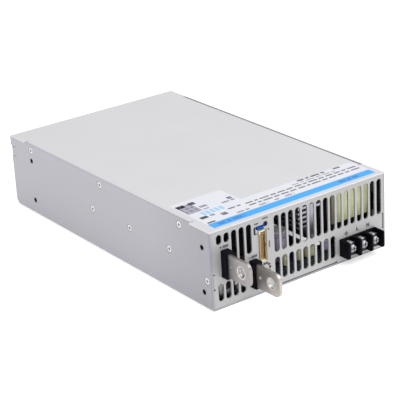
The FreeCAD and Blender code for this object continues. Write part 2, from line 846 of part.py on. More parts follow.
def output_bar(index):
    place = bar_places[index]
    left = bar_left(place)
    low, top = place[1] - bar_height / 2, place[1] + bar_height / 2
    stagger = index * bar_stagger
    tip = front_face - bar_reach - stagger
    end = behind(bar_inner_length)
    leg = behind(bar_leg_front)
    side = [(tip, low, bar_tip_round), (leg, low), (leg, board_top), (end, board_top), (end, top),
            (tip, top, bar_tip_round)]
    plate = profile("x", side, left, left + bar_thickness)
    foot = block(bar_foot_span(index, place), (leg, end), (board_top, board_top + bar_foot_thickness))
    bar = joined([plate, foot])
    holes = [rod("x", (left - past, front_face - reach - stagger, place[1]), radius, bar_thickness + 2 * past)
             for reach, radius in ((bar_hole_reach, bar_hole_radius), (bar_pilot_reach, bar_pilot_radius))]
    holes.append(rod("z", (*bar_foot_centre(index, place), 0), bar_bolt_radius + fit_gap, case_height))
    return without(bar, holes)


def bar_bushing(index):
    place = bar_places[index]
    nose = profile("y", rounded_rectangle(*bushing_spans(place), bushing_edge_round),
                   front_face - bushing_reach, front_face)
    neck = profile("y", rounded_rectangle(*bushing_spans(place, bushing_neck_wall), bushing_edge_round),
                   front_face, panel_back + bushing_neck_length)
    left = bar_left(place)
    way = block((left - fit_gap, left + bar_thickness + fit_gap),
                (front_face - bushing_reach - past, panel_back + bushing_neck_length + past),
                (place[1] - bar_height / 2 - fit_gap, place[1] + bar_height / 2 + fit_gap))
    return joined([nose, neck]).cut(way)


def bar_bolts():
    bolt = pan_screw(bar_bolt_radius, bar_bolt_length, bar_bolt_head_radius, bar_bolt_head_height,
                     recess_span, recess_width, recess_depth)
    return Part.makeCompound([facing(bolt, "up",
                                     (*bar_foot_centre(index, place), board_top + bar_foot_thickness))
                              for index, place in enumerate(bar_places)])


terminal_floor = terminal_low + terminal_base_height
pole_centres = [across(terminal_left) + terminal_wall / 2 + terminal_pitch * (index + 0.5)
                for index in range(terminal_poles)]


def terminal_block():
    x_span, z_span = terminal_spans()
    tip = front_face - terminal_reach
    base = block(x_span, (front_face - terminal_base_reach, front_face), (terminal_low, terminal_floor))
    back = block(x_span, (front_face - terminal_back_wall, front_face), z_span)
    barriers = [profile("x", [(tip, z_span[0], terminal_corner_round), (front_face, z_span[0]),
                              (front_face, z_span[1]), (tip, z_span[1], terminal_corner_round)],
                        x_span[0] + index * terminal_pitch,
                        x_span[0] + index * terminal_pitch + terminal_wall)
                for index in range(terminal_poles + 1)]
    neck = block((x_span[0] + terminal_neck_inset, x_span[1] - terminal_neck_inset),
                 (front_face, panel_back + terminal_neck_length),
                 (z_span[0] + terminal_neck_inset, z_span[1] - terminal_neck_inset))
    body = joined([base, back, neck] + barriers)
    cuts = []
    for centre in pole_centres:
        cuts.append(block((centre - tab_width / 2 - fit_gap, centre + tab_width / 2 + fit_gap),
                          (front_face - terminal_base_reach, panel_back + terminal_neck_length + past),
                          (terminal_floor, terminal_floor + plate_thickness + fit_gap)))
        cuts.append(rod("y", (centre, front_face - terminal_base_reach - past, terminal_screw_height),
                        terminal_screw_radius + fit_gap, terminal_screw_length))
    return without(body, cuts)


# One strip of metal per pole: plate behind the screw, tab back through the panel and leg down to the board
def terminal_plates():
    strips = []
    outer = front_face - terminal_base_reach - plate_thickness
    landing = behind(tab_landing)
    for centre in pole_centres:
        plate = block((centre - plate_width / 2, centre + plate_width / 2), (outer, outer + plate_thickness),
                      (terminal_low + plate_rise, terminal_floor + plate_thickness))
        hole = rod("y", (centre, outer - past, terminal_screw_height), terminal_screw_radius + fit_gap,
                   3 * past)
        tab = profile("x", [(outer, terminal_floor), (outer, terminal_floor + plate_thickness),
                            (landing + plate_thickness, terminal_floor + plate_thickness),
                            (landing + plate_thickness, board_top), (landing, board_top),
                            (landing, terminal_floor)], centre - tab_width / 2, centre + tab_width / 2)
        strips.append(joined([plate, tab]).cut(hole))
    return Part.makeCompound(strips)


washer_seat = front_face - terminal_base_reach - plate_thickness


def terminal_washers():
    washer = turned([(0, washer_radius), (washer_thickness, washer_radius)], terminal_screw_radius + fit_gap)
    return Part.makeCompound([facing(washer, "front", (centre, washer_seat, terminal_screw_height))
                              for centre in pole_centres])


def terminal_screws():
    screw = pan_screw(terminal_screw_radius, terminal_screw_length, terminal_head_radius,
                      terminal_head_height,
                      terminal_recess_span, terminal_recess_width, terminal_recess_depth)
    seat = washer_seat - washer_thickness
    return Part.makeCompound([facing(screw, "front", (centre, seat, terminal_screw_height))
                              for centre in pole_centres])


def control_board():
    return block((across(control_board_left), control_right),
                 (control_front, control_front + control_board_depth),
                 (board_top, cover_under - control_board_head_gap))


def signal_connector():
    x_span = control_right, control_right + connector_width
    z_span = connector_low, connector_low + connector_height
    tip = front_face - connector_reach
    body = profile("y", rounded_rectangle(x_span, z_span, connector_edge_round), tip,
                   front_face + connector_body_depth)
    socket = block((x_span[0] + connector_wall, x_span[1] - connector_wall),
                   (tip - past, tip + connector_socket_depth),
                   (z_span[0] + connector_wall, z_span[1] - connector_wall))
    key_place = (z_span[0] + z_span[1]) / 2
    key = block((x_span[1] - connector_wall - past, x_span[1] - connector_wall + connector_key_depth),
                (tip - past, tip + connector_socket_depth),
                (key_place - connector_key_width / 2, key_place + connector_key_width / 2))
    return without(body, [socket, key])


def connector_pins():
    centre_x = control_right + connector_width / 2
    centre_z = connector_low + connector_height / 2
    floor = front_face - connector_reach + connector_socket_depth
    pins = []
    for row in range(pin_rows):
        for column in range(pins_per_row):
            x = centre_x + (row - (pin_rows - 1) / 2) * pin_pitch
            z = centre_z + (column - (pins_per_row - 1) / 2) * pin_pitch
            pins.append(block((x - pin_size / 2, x + pin_size / 2), (floor - pin_length, floor),
                              (z - pin_size / 2, z + pin_size / 2)))
    return Part.makeCompound(pins)


def trimmer_body():
    z_span = trimmer_low, trimmer_low + trimmer_height
    body = block((control_right, control_right + trimmer_width),
                 (control_front, control_front + trimmer_depth), z_span)
    nose = block((across(trimmer_nose_left), across(trimmer_nose_left + trimmer_nose_width)),
                 (front_face - trimmer_nose_reach, control_front),
                 (trimmer_low, trimmer_low + trimmer_nose_height))
    seat = rod("y", (across(rotor_across), front_face - past, rotor_height), rotor_radius + fit_gap,
               control_front - front_face + past + trimmer_socket_depth)
    return joined([body, nose]).cut(seat)


def trimmer_rotor():
    length = rotor_reach + control_front - front_face + trimmer_socket_depth - fit_gap
    screw = turned([(-length, rotor_radius), (0, rotor_radius)])
    groove = block((-rotor_radius - past, rotor_radius + past), (-rotor_slot_width / 2, rotor_slot_width / 2),
                   (-rotor_slot_depth, past))
    return facing(screw.cut(groove), "front", (across(rotor_across), front_face - rotor_reach, rotor_height))


def status_lamp():
    dome = turned([(-panel_sheet - lamp_length, lamp_collar_radius), (-panel_sheet, lamp_collar_radius),
                   (-panel_sheet, lamp_radius), (0, lamp_radius), (lamp_reach, lamp_radius / 2)])
    lamp = facing(dome, "front", (across(lamp_across), front_face, lamp_height))
    back = behind(lamp_lead_back)
    start = panel_back + lamp_length
    leads = []
    for shift in (-lamp_lead_spread, lamp_lead_spread):
        height = lamp_height + shift
        leads.append(rod("y", (across(lamp_across), start, height), lamp_lead_radius, back - start))
        leads.append(rod("x", (control_right, back, height), lamp_lead_radius,
                         across(lamp_across) - control_right))
    return joined([lamp] + leads)


# Sound capsule behind the ring of holes, with its port on the panel's side
def sounder():
    centre = across(sounder_across), panel_back, sounder_height
    capsule = rod("y", centre, sounder_radius, sounder_length)
    return capsule.cut(rod("y", centre, sounder_port_radius, sounder_port_depth))


# Square frame with a round tube between its flanges and the motor plate on four struts at its front end
def fan_frame(centre):
    half = fan_size / 2
    square = rounded_rectangle((centre - half, centre + half), (fan_height - half, fan_height + half),
                               fan_corner_round)
    frame = profile("y", square, fan_front, fan_rear)
    axis_start = (centre, fan_front - past, fan_height)
    through = fan_length + 2 * past
    waist = (fan_front + fan_flange_thickness, fan_rear - fan_flange_thickness)
    outside = block((centre - half - past, centre + half + past), waist,
                    (fan_height - half - past, fan_height + half + past))
    outside = outside.cut(rod("y", axis_start, fan_duct_radius + fan_tube_wall, through))
    frame = without(frame, [rod("y", axis_start, fan_duct_radius, through), outside])
    arms = []
    for turn in (45, 135):
        arm = block((-half, half), (fan_front, fan_front + fan_strut_thickness),
                    (-fan_strut_width / 2, fan_strut_width / 2))
        arm.rotate(FreeCAD.Vector(0, 0, 0), directions["y"], turn)
        arm.translate(FreeCAD.Vector(centre, 0, fan_height))
        arms.append(arm.common(rod("y", axis_start, fan_duct_radius + fan_tube_wall / 2, through)))
    plate = rod("y", (centre, fan_front, fan_height), fan_plate_radius, fan_strut_thickness)
    frame = joined([frame, plate] + arms)
    holes = [rod("y", (centre + right * fan_screw_reach, axis_start[1], fan_height + up * fan_screw_reach),
                 fan_hole_radius, through) for right in (-1, 1) for up in (-1, 1)]
    return without(frame, holes)


fan_plate_top = fan_front + fan_strut_thickness


# Bearing tube and wound stator, fixed to the motor plate
def fan_stator(centre):
    lift = fan_stator_lift
    stator = turned([(0, fan_bearing_radius), (lift, fan_bearing_radius), (lift, fan_stator_radius),
                     (lift + fan_stator_length, fan_stator_radius),
                     (lift + fan_stator_length, fan_bearing_radius),
                     (fan_bearing_length, fan_bearing_radius)], fan_shaft_radius + fit_gap)
    return facing(stator, "rear", (centre, fan_plate_top, fan_height))


# Blade as a loft from its root to its tip, with less pitch towards the tip
def fan_blade(middle):
    sections = []
    for radius, pitch in ((fan_hub_radius - fan_hub_wall / 2, fan_root_pitch), (fan_size / 2, fan_tip_pitch)):
        turn = math.radians(pitch)
        along = FreeCAD.Vector(math.cos(turn), 0, math.sin(turn)) * (fan_blade_chord / 2)
        thick = FreeCAD.Vector(-math.sin(turn), 0, math.cos(turn)) * (fan_blade_thickness / 2)
        centre = FreeCAD.Vector(0, radius, middle)
        corners = [centre - along - thick, centre + along - thick, centre + along + thick,
                   centre - along + thick]
        sections.append(Part.makePolygon(corners + [corners[0]]))
    return Part.makeLoft(sections, True, True)


# Cup over the stator with its shaft in the bearing and the blades round it
def fan_rotor(centre):
    inner = fan_hub_radius - fan_hub_wall
    top = fan_hub_lift + fan_hub_length
    cup = turned([(fan_hub_lift, fan_hub_radius), (top - fan_hub_wall, fan_hub_radius),
                  (top, fan_hub_radius - fan_hub_wall)])
    cup = cup.cut(turned([(fan_hub_lift - past, inner), (top - fan_hub_wall, inner)]))
    shaft = turned([(0, fan_shaft_radius), (top - fan_hub_wall / 2, fan_shaft_radius)])
    sweep = rod("z", (0, 0, -fan_length), fan_duct_radius - fan_tip_gap, 3 * fan_length)
    blades = []
    for index in range(fan_blades):
        blade = fan_blade(fan_hub_lift + fan_hub_length / 2).common(sweep)
        blade.rotate(FreeCAD.Vector(0, 0, 0), directions["z"], 360.0 * index / fan_blades)
        blades.append(blade.cut(rod("z", (0, 0, -fan_length), inner + fan_hub_wall / 4, 3 * fan_length)))
    return facing(joined([cup, shaft] + blades), "rear", (centre, fan_plate_top, fan_height))


def header_places():
    return [(centre + lead_offset, behind(header_behind)) for centre in fan_centres]


def fan_headers():
    return Part.makeCompound([block((x - header_width / 2, x + header_width / 2), (y - header_depth, y),
                                    (board_top, board_top + header_height)) for x, y in header_places()])


# Lead from the fan's frame to its header, as straight runs joined by tangent arcs
def fan_lead(index):
    x, y = header_places()[index]
    low = board_top + header_height / 2
    start = fan_front
    gap = start - y
    points = [FreeCAD.Vector(x, start, lead_height), FreeCAD.Vector(x, start - gap * 0.4, lead_height),
              FreeCAD.Vector(x, y + gap * 0.4, low), FreeCAD.Vector(x, y, low)]
    return tube(points, lead_radius)


def tube(points, radius):
    edges = []
    start = points[0]
    for before, here, after in zip(points, points[1:], points[2:]):
        back = (before - here).normalize()
        ahead = (after - here).normalize()
        half_turn = (math.pi - back.getAngle(ahead)) / 2
        reach = min((before - here).Length, (after - here).Length) * 0.45
        bend = reach / math.tan(half_turn)
        print("bend radius", round(bend, 1))
        middle = here + (back + ahead).normalize() * (bend / math.cos(half_turn) - bend)
        edges.append(Part.LineSegment(start, here + back * reach).toShape())
        edges.append(Part.Arc(here + back * reach, middle, here + ahead * reach).toShape())
        start = here + ahead * reach
    edges.append(Part.LineSegment(start, points[-1]).toShape())
    path = Part.Wire(edges)
    ring = Part.Wire(Part.makeCircle(radius, points[0], points[1] - points[0]))
    return path.makePipeShell([ring], True, False)


def side_sink(sign):
    back = wall_inside
    profile_points = [(back, side_sink_low), (back, side_sink_top),
                      (back - side_sink_thickness, side_sink_top),
                      (back - side_sink_thickness, side_sink_low)]
    span = behind(side_sink_front), behind(side_sink_front + side_sink_length)
    sink = profile("y", [(sign * x, z) for x, z in profile_points], *span)
    feet = [block((min(sign * back, sign * (back - side_sink_foot)),
                   max(sign * back, sign * (back - side_sink_foot))),
                  (end, end + 3 * side_sink_foot), (chassis_sheet + bend_inside, side_sink_low))
            for end in (span[0], span[1] - 3 * side_sink_foot)]
    sink = joined([sink] + feet)
    tapped = rod("z", (0, 0, -wall_screw_length - past), wall_screw_shank_radius + fit_gap,
                 wall_screw_length + past)
    side = "left" if sign < 0 else "right"
    return without(sink, [facing(tapped, side, point) for place_side, point in sink_screw_places
                          if place_side == side])


# Flat power package seen from its face, standing on three leads; its back is on the origin's plane x = 0
def power_package(width, height, lead_count):
    bottom = board_top + transistor_lift
    body = block((0, transistor_thickness), (-width / 2, width / 2), (bottom, bottom + height))
    hole = rod("x", (-past, 0, bottom + height * 0.8), transistor_hole_radius,
               transistor_thickness + 2 * past)
    middle = transistor_thickness / 2
    leads = [block((middle, middle + transistor_lead_thickness),
                   (shift - transistor_lead_width / 2, shift + transistor_lead_width / 2),
                   (board_top, bottom + past))
             for shift in spaced(-transistor_lead_pitch * (lead_count - 1) / 2, transistor_lead_pitch,
                                 lead_count)]
    return joined([body.cut(hole)] + leads)


def on_wall_sink(piece, sign, distance):
    placed_piece = piece.copy()
    if sign > 0:
        placed_piece.rotate(FreeCAD.Vector(0, 0, 0), directions["z"], 180)
    placed_piece.translate(FreeCAD.Vector(sign * (wall_inside - side_sink_thickness), behind(distance), 0))
    return placed_piece


def transistors():
    package = power_package(transistor_width, transistor_height, 3)
    return Part.makeCompound([on_wall_sink(package, -1, distance) for distance in transistor_places])


def bridge_rectifiers():
    package = power_package(bridge_width, bridge_height, 4)
    return Part.makeCompound([on_wall_sink(package, 1, distance) for distance in bridge_places])


# Extruded heat sink along the air stream: upright web, five fins to the left and a flange to the right
def centre_sink():
    left = across(centre_sink_left)
    right = left + centre_sink_thickness
    top = centre_sink_top
    span = behind(centre_sink_front), behind(centre_sink_front + centre_sink_length)
    pieces = [block((left, right), span, (board_top, top))]
    for index in range(fin_count):
        upper = top - fin_top_gap - index * fin_pitch
        pieces.append(block((left - fin_length, left), span, (upper - fin_thickness, upper)))
    pieces.append(block((left - low_fin_length, left), span,
                        (low_fin_height, low_fin_height + fin_thickness)))
    flange_top = top - top_flange_drop
    pieces.append(block((right, right + top_flange_length), span, (flange_top - fin_thickness, flange_top)))
    undercut = block((left - past, right + past), (span[0] - past, span[0] + sink_undercut_depth),
                     (board_top - past, board_top + sink_undercut_height))
    return joined(pieces).cut(undercut)


def on_board(piece, place):
    return facing(piece, "up", (across(place[0]), behind(place[1]), board_top))


def boxed_capacitor(width, depth, height):
    outline = rounded_rectangle((-width / 2, width / 2), (-depth / 2, depth / 2), film_box_round)
    return profile("z", outline, 0, height)


def film_capacitors():
    box = boxed_capacitor(film_box_width, film_box_depth, film_box_height)
    return Part.makeCompound([on_board(box, (place, film_box_behind + film_box_depth / 2))
                              for place in film_box_places])


def mains_capacitors():
    box = boxed_capacitor(mains_box_width, mains_box_depth, mains_box_height)
    return Part.makeCompound([on_board(box, (x, y + mains_box_depth / 2)) for x, y in mains_box_places])


# Can with the crimped groove under its rim
def can(radius, height):
    groove = height - can_groove_down
    return turned([(0, radius), (groove - can_groove_width, radius),
                   (groove - can_groove_width / 2, radius - can_groove_depth),
                   (groove, radius), (height - can_rim, radius), (height, radius - can_rim)])


def output_capacitors():
    return Part.makeCompound([on_board(can(small_can_radius, small_can_height), place)
                              for place in small_can_places])


def bulk_capacitors():
    return Part.makeCompound([on_board(can(large_can_radius, large_can_height), place)
                              for place in large_can_places])


line_coil_low = board_top + line_base_height
line_core_middle = line_coil_low + line_coil_height / 2


def line_choke_coil():
    x_span = across(line_choke_left), across(line_choke_left) + line_coil_width
    y_span = behind(line_choke_front), behind(line_choke_front) + line_coil_depth
    coil = profile("x", rounded_rectangle(y_span, (line_coil_low, line_coil_low + line_coil_height),
                                          line_coil_round), *x_span)
    middle = (y_span[0] + y_span[1]) / 2
    window = block((x_span[0] - past, x_span[1] + past),
                   (middle - line_core_bar_depth / 2 - fit_gap, middle + line_core_bar_depth / 2 + fit_gap),
                   (line_core_middle - line_core_bar_height / 2 - fit_gap,
                    line_core_middle + line_core_bar_height / 2 + fit_gap))
    return coil.cut(window)


def line_choke_core():
    left = across(line_choke_left)
    right = left + line_coil_width
    front = behind(line_choke_front)
    middle = front + line_coil_depth / 2
    bar = block((left - past, right + past),
                (middle - line_core_bar_depth / 2, middle + line_core_bar_depth / 2),
                (line_core_middle - line_core_bar_height / 2, line_core_middle + line_core_bar_height / 2))
    y_span = front + line_core_end_inset, front + line_coil_depth - line_core_end_inset
    z_span = line_coil_low, line_coil_low + line_coil_height - line_core_end_inset
    ends = [block((left - line_core_end_left, left - sheet_gap), y_span, z_span),
            block((right + sheet_gap, right + line_core_end_right), y_span, z_span)]
    return joined([bar] + ends)


def line_choke_base():
    x_span = across(line_choke_left) - line_core_end_left, across(line_choke_left) + line_coil_width
    y_span = behind(line_choke_front), behind(line_choke_front) + line_coil_depth
    outline = rounded_rectangle((x_span[0] + past, x_span[1] - line_base_inset),
                                (y_span[0] + line_base_inset, y_span[1] - line_base_inset), line_base_inset)
    return profile("z", outline, board_top, line_coil_low)


# Shell-type core: two side legs, top and bottom yokes and a middle leg that the coil sits on
def wound_core(left, front):
    x_span = across(left), across(left) + wound_width
    middle = behind(front) + wound_depth / 2
    y_span = middle - wound_core_depth / 2, middle + wound_core_depth / 2
    outer = block(x_span, y_span, (board_top, board_top + wound_core_height))
    centre = (x_span[0] + x_span[1]) / 2
    windows = [block(span, (y_span[0] - past, y_span[1] + past),
                     (board_top + wound_leg, board_top + wound_core_height - wound_leg))
               for span in ((x_span[0] + wound_leg / 2, centre - wound_leg / 2),
                            (centre + wound_leg / 2, x_span[1] - wound_leg / 2))]
    return without(outer, windows)


def wound_coil(left, front):
    x_span = across(left) + wound_leg / 2 + wound_gap, across(left) + wound_width - wound_leg / 2 - wound_gap
    y_span = behind(front), behind(front) + wound_depth
    z_span = board_top + wound_leg + wound_gap, board_top + wound_core_height - wound_leg - wound_gap
    coil = profile("z", rounded_rectangle(x_span, y_span, wound_coil_round), *z_span)
    centre = (x_span[0] + x_span[1]) / 2
    middle = (y_span[0] + y_span[1]) / 2
    leg = block((centre - wound_leg / 2 - fit_gap, centre + wound_leg / 2 + fit_gap),
                (middle - wound_core_depth / 2 - fit_gap, middle + wound_core_depth / 2 + fit_gap),
                (z_span[0] - past, z_span[1] + past))
    return coil.cut(leg)


def output_chokes():
    ring = turned([(0, ring_outer_radius - ring_round), (ring_round, ring_outer_radius),
                   (ring_height - ring_round, ring_outer_radius),
                   (ring_height, ring_outer_radius - ring_round)],
                  ring_inner_radius)
    return Part.makeCompound([on_board(ring, place) for place in ring_places])


def inrush_relay():
    outline = rounded_rectangle((across(relay_left), across(relay_left + relay_width)),
                                (behind(relay_front), behind(relay_front + relay_depth)), relay_round)
    return profile("z", outline, board_top, board_top + relay_height)


def line_fuse():
    x = across(fuse_across)
    height = board_top + fuse_lift
    start = behind(fuse_front)
    steps = [(0, fuse_cap_radius), (fuse_cap_length, fuse_cap_radius), (fuse_cap_length, fuse_radius),
             (fuse_length - fuse_cap_length, fuse_radius), (fuse_length - fuse_cap_length, fuse_cap_radius),
             (fuse_length, fuse_cap_radius)]
    return facing(turned(steps), "rear", (x, start, height))


def fuse_clips():
    x = across(fuse_across)
    height = board_top + fuse_lift
    clips = []
    for start in (fuse_front + fuse_clip_inset, fuse_front + fuse_length - fuse_clip_inset - fuse_clip_width):
        clip = block((x - fuse_cap_radius - past, x + fuse_cap_radius + past),
                     (behind(start), behind(start + fuse_clip_width)),
                     (board_top, height + fuse_cap_radius / 2))
        seat = rod("y", (x, behind(start) - past, height), fuse_cap_radius + fit_gap,
                   fuse_clip_width + 2 * past)
        mouth = block((x - fuse_cap_radius * 0.8, x + fuse_cap_radius * 0.8),
                      (behind(start) - past, behind(start) + fuse_clip_width + past),
                      (height, height + fuse_length))
        clips.append(clip.cut(seat).cut(mouth))
    return Part.makeCompound(clips)


def rating_label():
    outline = [(across(label_left), behind(label_near)), (across(label_right), behind(label_near)),
               (across(label_right), behind(label_far)), (across(label_step_across), behind(label_far)),
               (across(label_step_across), behind(label_step_far)),
               (across(label_left), behind(label_step_far))]
    return profile("z", outline, case_height, case_height + label_thickness)


nodes = {
    "chassis": chassis(),
    "cover": cover(),
    "front_panel": front_panel(),
    "cover_screws": wall_screws(cover_screw_places),
    "heat_sink_screws": wall_screws(sink_screw_places),
    "panel_screws": wall_screws(ear_screw_places),
    "mounting_nuts": mounting_nuts(),
    "positive_bar": output_bar(0),
    "negative_bar": output_bar(1),
    "positive_bushing": bar_bushing(0),
    "negative_bushing": bar_bushing(1),
    "bar_bolts": bar_bolts(),
    "terminal_block": terminal_block(),
    "terminal_plates": terminal_plates(),
    "terminal_washers": terminal_washers(),
    "terminal_screws": terminal_screws(),
    "control_board": control_board(),
    "signal_connector": signal_connector(),
    "connector_pins": connector_pins(),
    "trimmer_body": trimmer_body(),
    "trimmer_rotor": trimmer_rotor(),
    "status_lamp": status_lamp(),
    "sounder": sounder(),
    "insulation_film": insulation_film(),
    "main_board": main_board(),
    "board_standoffs": board_standoffs(),
    "board_screws": board_screws(),
    "left_heat_sink": side_sink(-1),
    "right_heat_sink": side_sink(1),
    "centre_heat_sink": centre_sink(),
    "transistors": transistors(),
    "bridge_rectifiers": bridge_rectifiers(),
    "film_capacitors": film_capacitors(),
    "mains_capacitors": mains_capacitors(),
    "output_capacitors": output_capacitors(),
    "bulk_capacitors": bulk_capacitors(),
    "line_choke_coil": line_choke_coil(),
    "line_choke_core": line_choke_core(),
    "line_choke_base": line_choke_base(),
    "boost_choke_core": wound_core(boost_left, boost_front),
    "boost_choke_coil": wound_coil(boost_left, boost_front),
    "transformer_core": wound_core(transformer_left, transformer_front),
    "transformer_coil": wound_coil(transformer_left, transformer_front),
    "output_chokes": output_chokes(),
    "inrush_relay": inrush_relay(),
    "line_fuse": line_fuse(),
    "fuse_clips": fuse_clips(),
    "fan_headers": fan_headers(),
    "fan_screws": fan_screws(),
    "rating_label": rating_label(),
}
for index, side in enumerate(("left", "right")):
    nodes[side + "_fan_frame"] = fan_frame(fan_centres[index])
    nodes[side + "_fan_stator"] = fan_stator(fan_centres[index])
    nodes[side + "_fan_rotor"] = fan_rotor(fan_centres[index])
    nodes[side + "_fan_lead"] = fan_lead(index)

os.makedirs("parts", exist_ok=True)
for name, shape in nodes.items():
    shape.exportStep("parts/" + name + ".step")
print(len(nodes), "pieces written")
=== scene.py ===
import itertools
import math

import bmesh
import bpy
from mathutils import Matrix, Vector


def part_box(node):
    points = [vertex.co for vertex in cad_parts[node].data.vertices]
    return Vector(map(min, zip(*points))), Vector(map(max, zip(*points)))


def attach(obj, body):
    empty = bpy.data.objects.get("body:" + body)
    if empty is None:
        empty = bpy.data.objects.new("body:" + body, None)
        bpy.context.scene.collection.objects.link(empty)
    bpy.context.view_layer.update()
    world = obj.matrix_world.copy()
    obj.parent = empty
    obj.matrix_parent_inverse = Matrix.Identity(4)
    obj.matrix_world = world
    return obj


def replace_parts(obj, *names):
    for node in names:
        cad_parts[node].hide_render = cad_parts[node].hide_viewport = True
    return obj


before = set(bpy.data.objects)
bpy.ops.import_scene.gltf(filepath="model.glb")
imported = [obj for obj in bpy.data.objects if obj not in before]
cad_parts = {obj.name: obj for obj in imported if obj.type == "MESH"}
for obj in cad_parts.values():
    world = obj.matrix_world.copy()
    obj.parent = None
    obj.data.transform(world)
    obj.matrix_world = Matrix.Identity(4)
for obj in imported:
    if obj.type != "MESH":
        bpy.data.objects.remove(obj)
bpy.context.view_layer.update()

mm = 0.001
mergeReach = 0.001 * mm
caseLow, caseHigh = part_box("chassis")
left = caseLow.x
front = caseLow.y
print("frame loaded:", len(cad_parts), "nodes")


# Camera and studio

view = {
    "azimuth": -35.17,
    "elevation": 22.41,
    "roll": -3.36,
    "place": (-640.3, -923.1, 483.8),  # mm from the middle of the case's underside
    "lens": 131.04,
    "sensor": 36.0,
    "clip": (0.05, 50.0),
}
studio = {
    "transform": "Standard",
    "worldColour": (1.0, 1.0, 1.0),
    "worldStrength": 0.9,
    "floorColour": (0.94, 0.94, 0.94),
    "floorSize": 8.0,
    "floorGlow": 0.3,
    "floorRoughness": 0.9,
    "floorGrain": 60.0,  # mm
    "floorPatches": 0.985,  # how much darker its patches are
    "keyPlace": (0.5, -0.7, 1.5),
    "keyPower": 16.0,
    "keySize": 1.6,
    "fillPlace": (-1.6, 0.7, 0.6),
    "fillPower": 3.5,
    "fillSize": 1.5,
    "frontPlace": (-0.35, -1.35, 0.62),
    "frontPower": 4.5,
    "frontSize": 0.22,
}


def makeCamera():
    azimuth, elevation, roll = (math.radians(view[name]) for name in ("azimuth", "elevation", "roll"))
    back = Vector((math.sin(azimuth) * math.cos(elevation),
                   -math.cos(azimuth) * math.cos(elevation), math.sin(elevation)))
    right = (-back).cross(Vector((0, 0, 1))).normalized()
    up = right.cross(-back)
    rolledRight = right * math.cos(roll) + up * math.sin(roll)
    rolledUp = up * math.cos(roll) - right * math.sin(roll)
    data = bpy.data.cameras.new("camera")
    data.lens = view["lens"]
    data.sensor_width = view["sensor"]
    data.clip_start, data.clip_end = view["clip"]
    camera = bpy.data.objects.new("camera", data)
    bpy.context.collection.objects.link(camera)
    turn = Matrix((rolledRight, rolledUp, back)).transposed().to_4x4()
    camera.matrix_world = Matrix.Translation(Vector(view["place"]) * mm) @ turn
    bpy.context.scene.camera = camera


def makeLamp(name, place, power, size):
    data = bpy.data.lights.new(name, "AREA")
    data.energy = power
    data.size = size
    lamp = bpy.data.objects.new(name, data)
    bpy.context.collection.objects.link(lamp)
    lamp.location = place
    lamp.rotation_euler = (-Vector(place)).to_track_quat("-Z", "Y").to_euler()


def makeStudio():
    world = bpy.data.worlds.new("studio")
    world.use_nodes = True
    sky = world.node_tree.nodes["Background"]
    sky.inputs["Color"].default_value = (*studio["worldColour"], 1.0)
    sky.inputs["Strength"].default_value = studio["worldStrength"]
    bpy.context.scene.world = world
    bpy.context.scene.view_settings.view_transform = studio["transform"]
    makeLamp("keyLight", studio["keyPlace"], studio["keyPower"], studio["keySize"])
    makeLamp("fillLight", studio["fillPlace"], studio["fillPower"], studio["fillSize"])
    makeLamp("frontLight", studio["frontPlace"], studio["frontPower"], studio["frontSize"])


makeCamera()
makeStudio()
print("camera and lights made")


# Materials

class Wire:  # one output of a material's nodes; sums on it add Math nodes
    def __init__(self, tree, socket):
        self.tree = tree
        self.socket = socket

    def node(self, kind, settings, sockets, output=0):
        made = self.tree.nodes.new(kind)
        for name, value in settings.items():
            setattr(made, name, value)
        for name, value in sockets.items():
            if isinstance(value, Wire):
                self.tree.links.new(value.socket, made.inputs[name])
            else:
                made.inputs[name].default_value = value
        return Wire(self.tree, made.outputs[output])

    def math(self, operation, first, second=0.0):
        return self.node("ShaderNodeMath", {"operation": operation}, {0: first, 1: second})

    def __add__(self, other):
        return self.math("ADD", self, other)

    def __radd__(self, other):
        return self.math("ADD", other, self)

    def __sub__(self, other):
        return self.math("SUBTRACT", self, other)

    def __rsub__(self, other):
        return self.math("SUBTRACT", other, self)

    def __mul__(self, other):
        return self.math("MULTIPLY", self, other)

    def __rmul__(self, other):
        return self.math("MULTIPLY", other, self)

    def __abs__(self):
        return self.math("ABSOLUTE", self)

    def __gt__(self, other):
        return self.math("GREATER_THAN", self, other)

    def __lt__(self, other):
        return self.math("LESS_THAN", self, other)


def newMaterial(name):
    made = bpy.data.materials.new(name)
    made.use_nodes = True
    surface = made.node_tree.nodes["Principled BSDF"]
    coordinates = made.node_tree.nodes.new("ShaderNodeTexCoord")
    return made, surface, Wire(made.node_tree, coordinates.outputs["Object"])


def apply(surface, sockets):
    for name, value in sockets.items():
        if isinstance(value, Wire):
            value.tree.links.new(value.socket, surface.inputs[name])
        else:
            surface.inputs[name].default_value = value


def stretched(place, scale):
    return place.node("ShaderNodeMapping", {}, {"Vector": place, "Scale": scale})


def noise(place, grain, detail=2.0):  # grain: size of one patch in mm
    return place.node("ShaderNodeTexNoise", {},
                      {"Vector": place, "Scale": 1.0 / (grain * mm), "Detail": detail})


def blend(factor, first, second):  # the first colour at 0, the second at 1
    first, second = ((*colour, 1.0) if isinstance(colour, tuple) else colour for colour in (first, second))
    return factor.node("ShaderNodeMix", {"data_type": "RGBA"}, {0: factor, 6: first, 7: second}, output=2)


def bump(height, depth, strength):  # depth in mm
    return height.node("ShaderNodeBump", {}, {"Height": height, "Strength": strength, "Distance": depth * mm})


def axis(place, index):  # 0, 1 or 2: the place along X, Y or Z in m
    return place.node("ShaderNodeSeparateXYZ", {}, {0: place}, output=index)


def ramp(value, low, high):  # 0 at low, 1 at high, in m
    return value.node("ShaderNodeMapRange", {}, {0: value, 1: low, 2: high})


def shaded(colour, factor, strength):  # darker where the factor is 1
    return blend(factor * strength, colour, (0.0, 0.0, 0.0))


def ring(across, along, inner, outer):  # 1 between two distances from a point, in mm
    reach = across * across + along * along
    return (reach > (inner * mm) ** 2) * (reach < (outer * mm) ** 2)


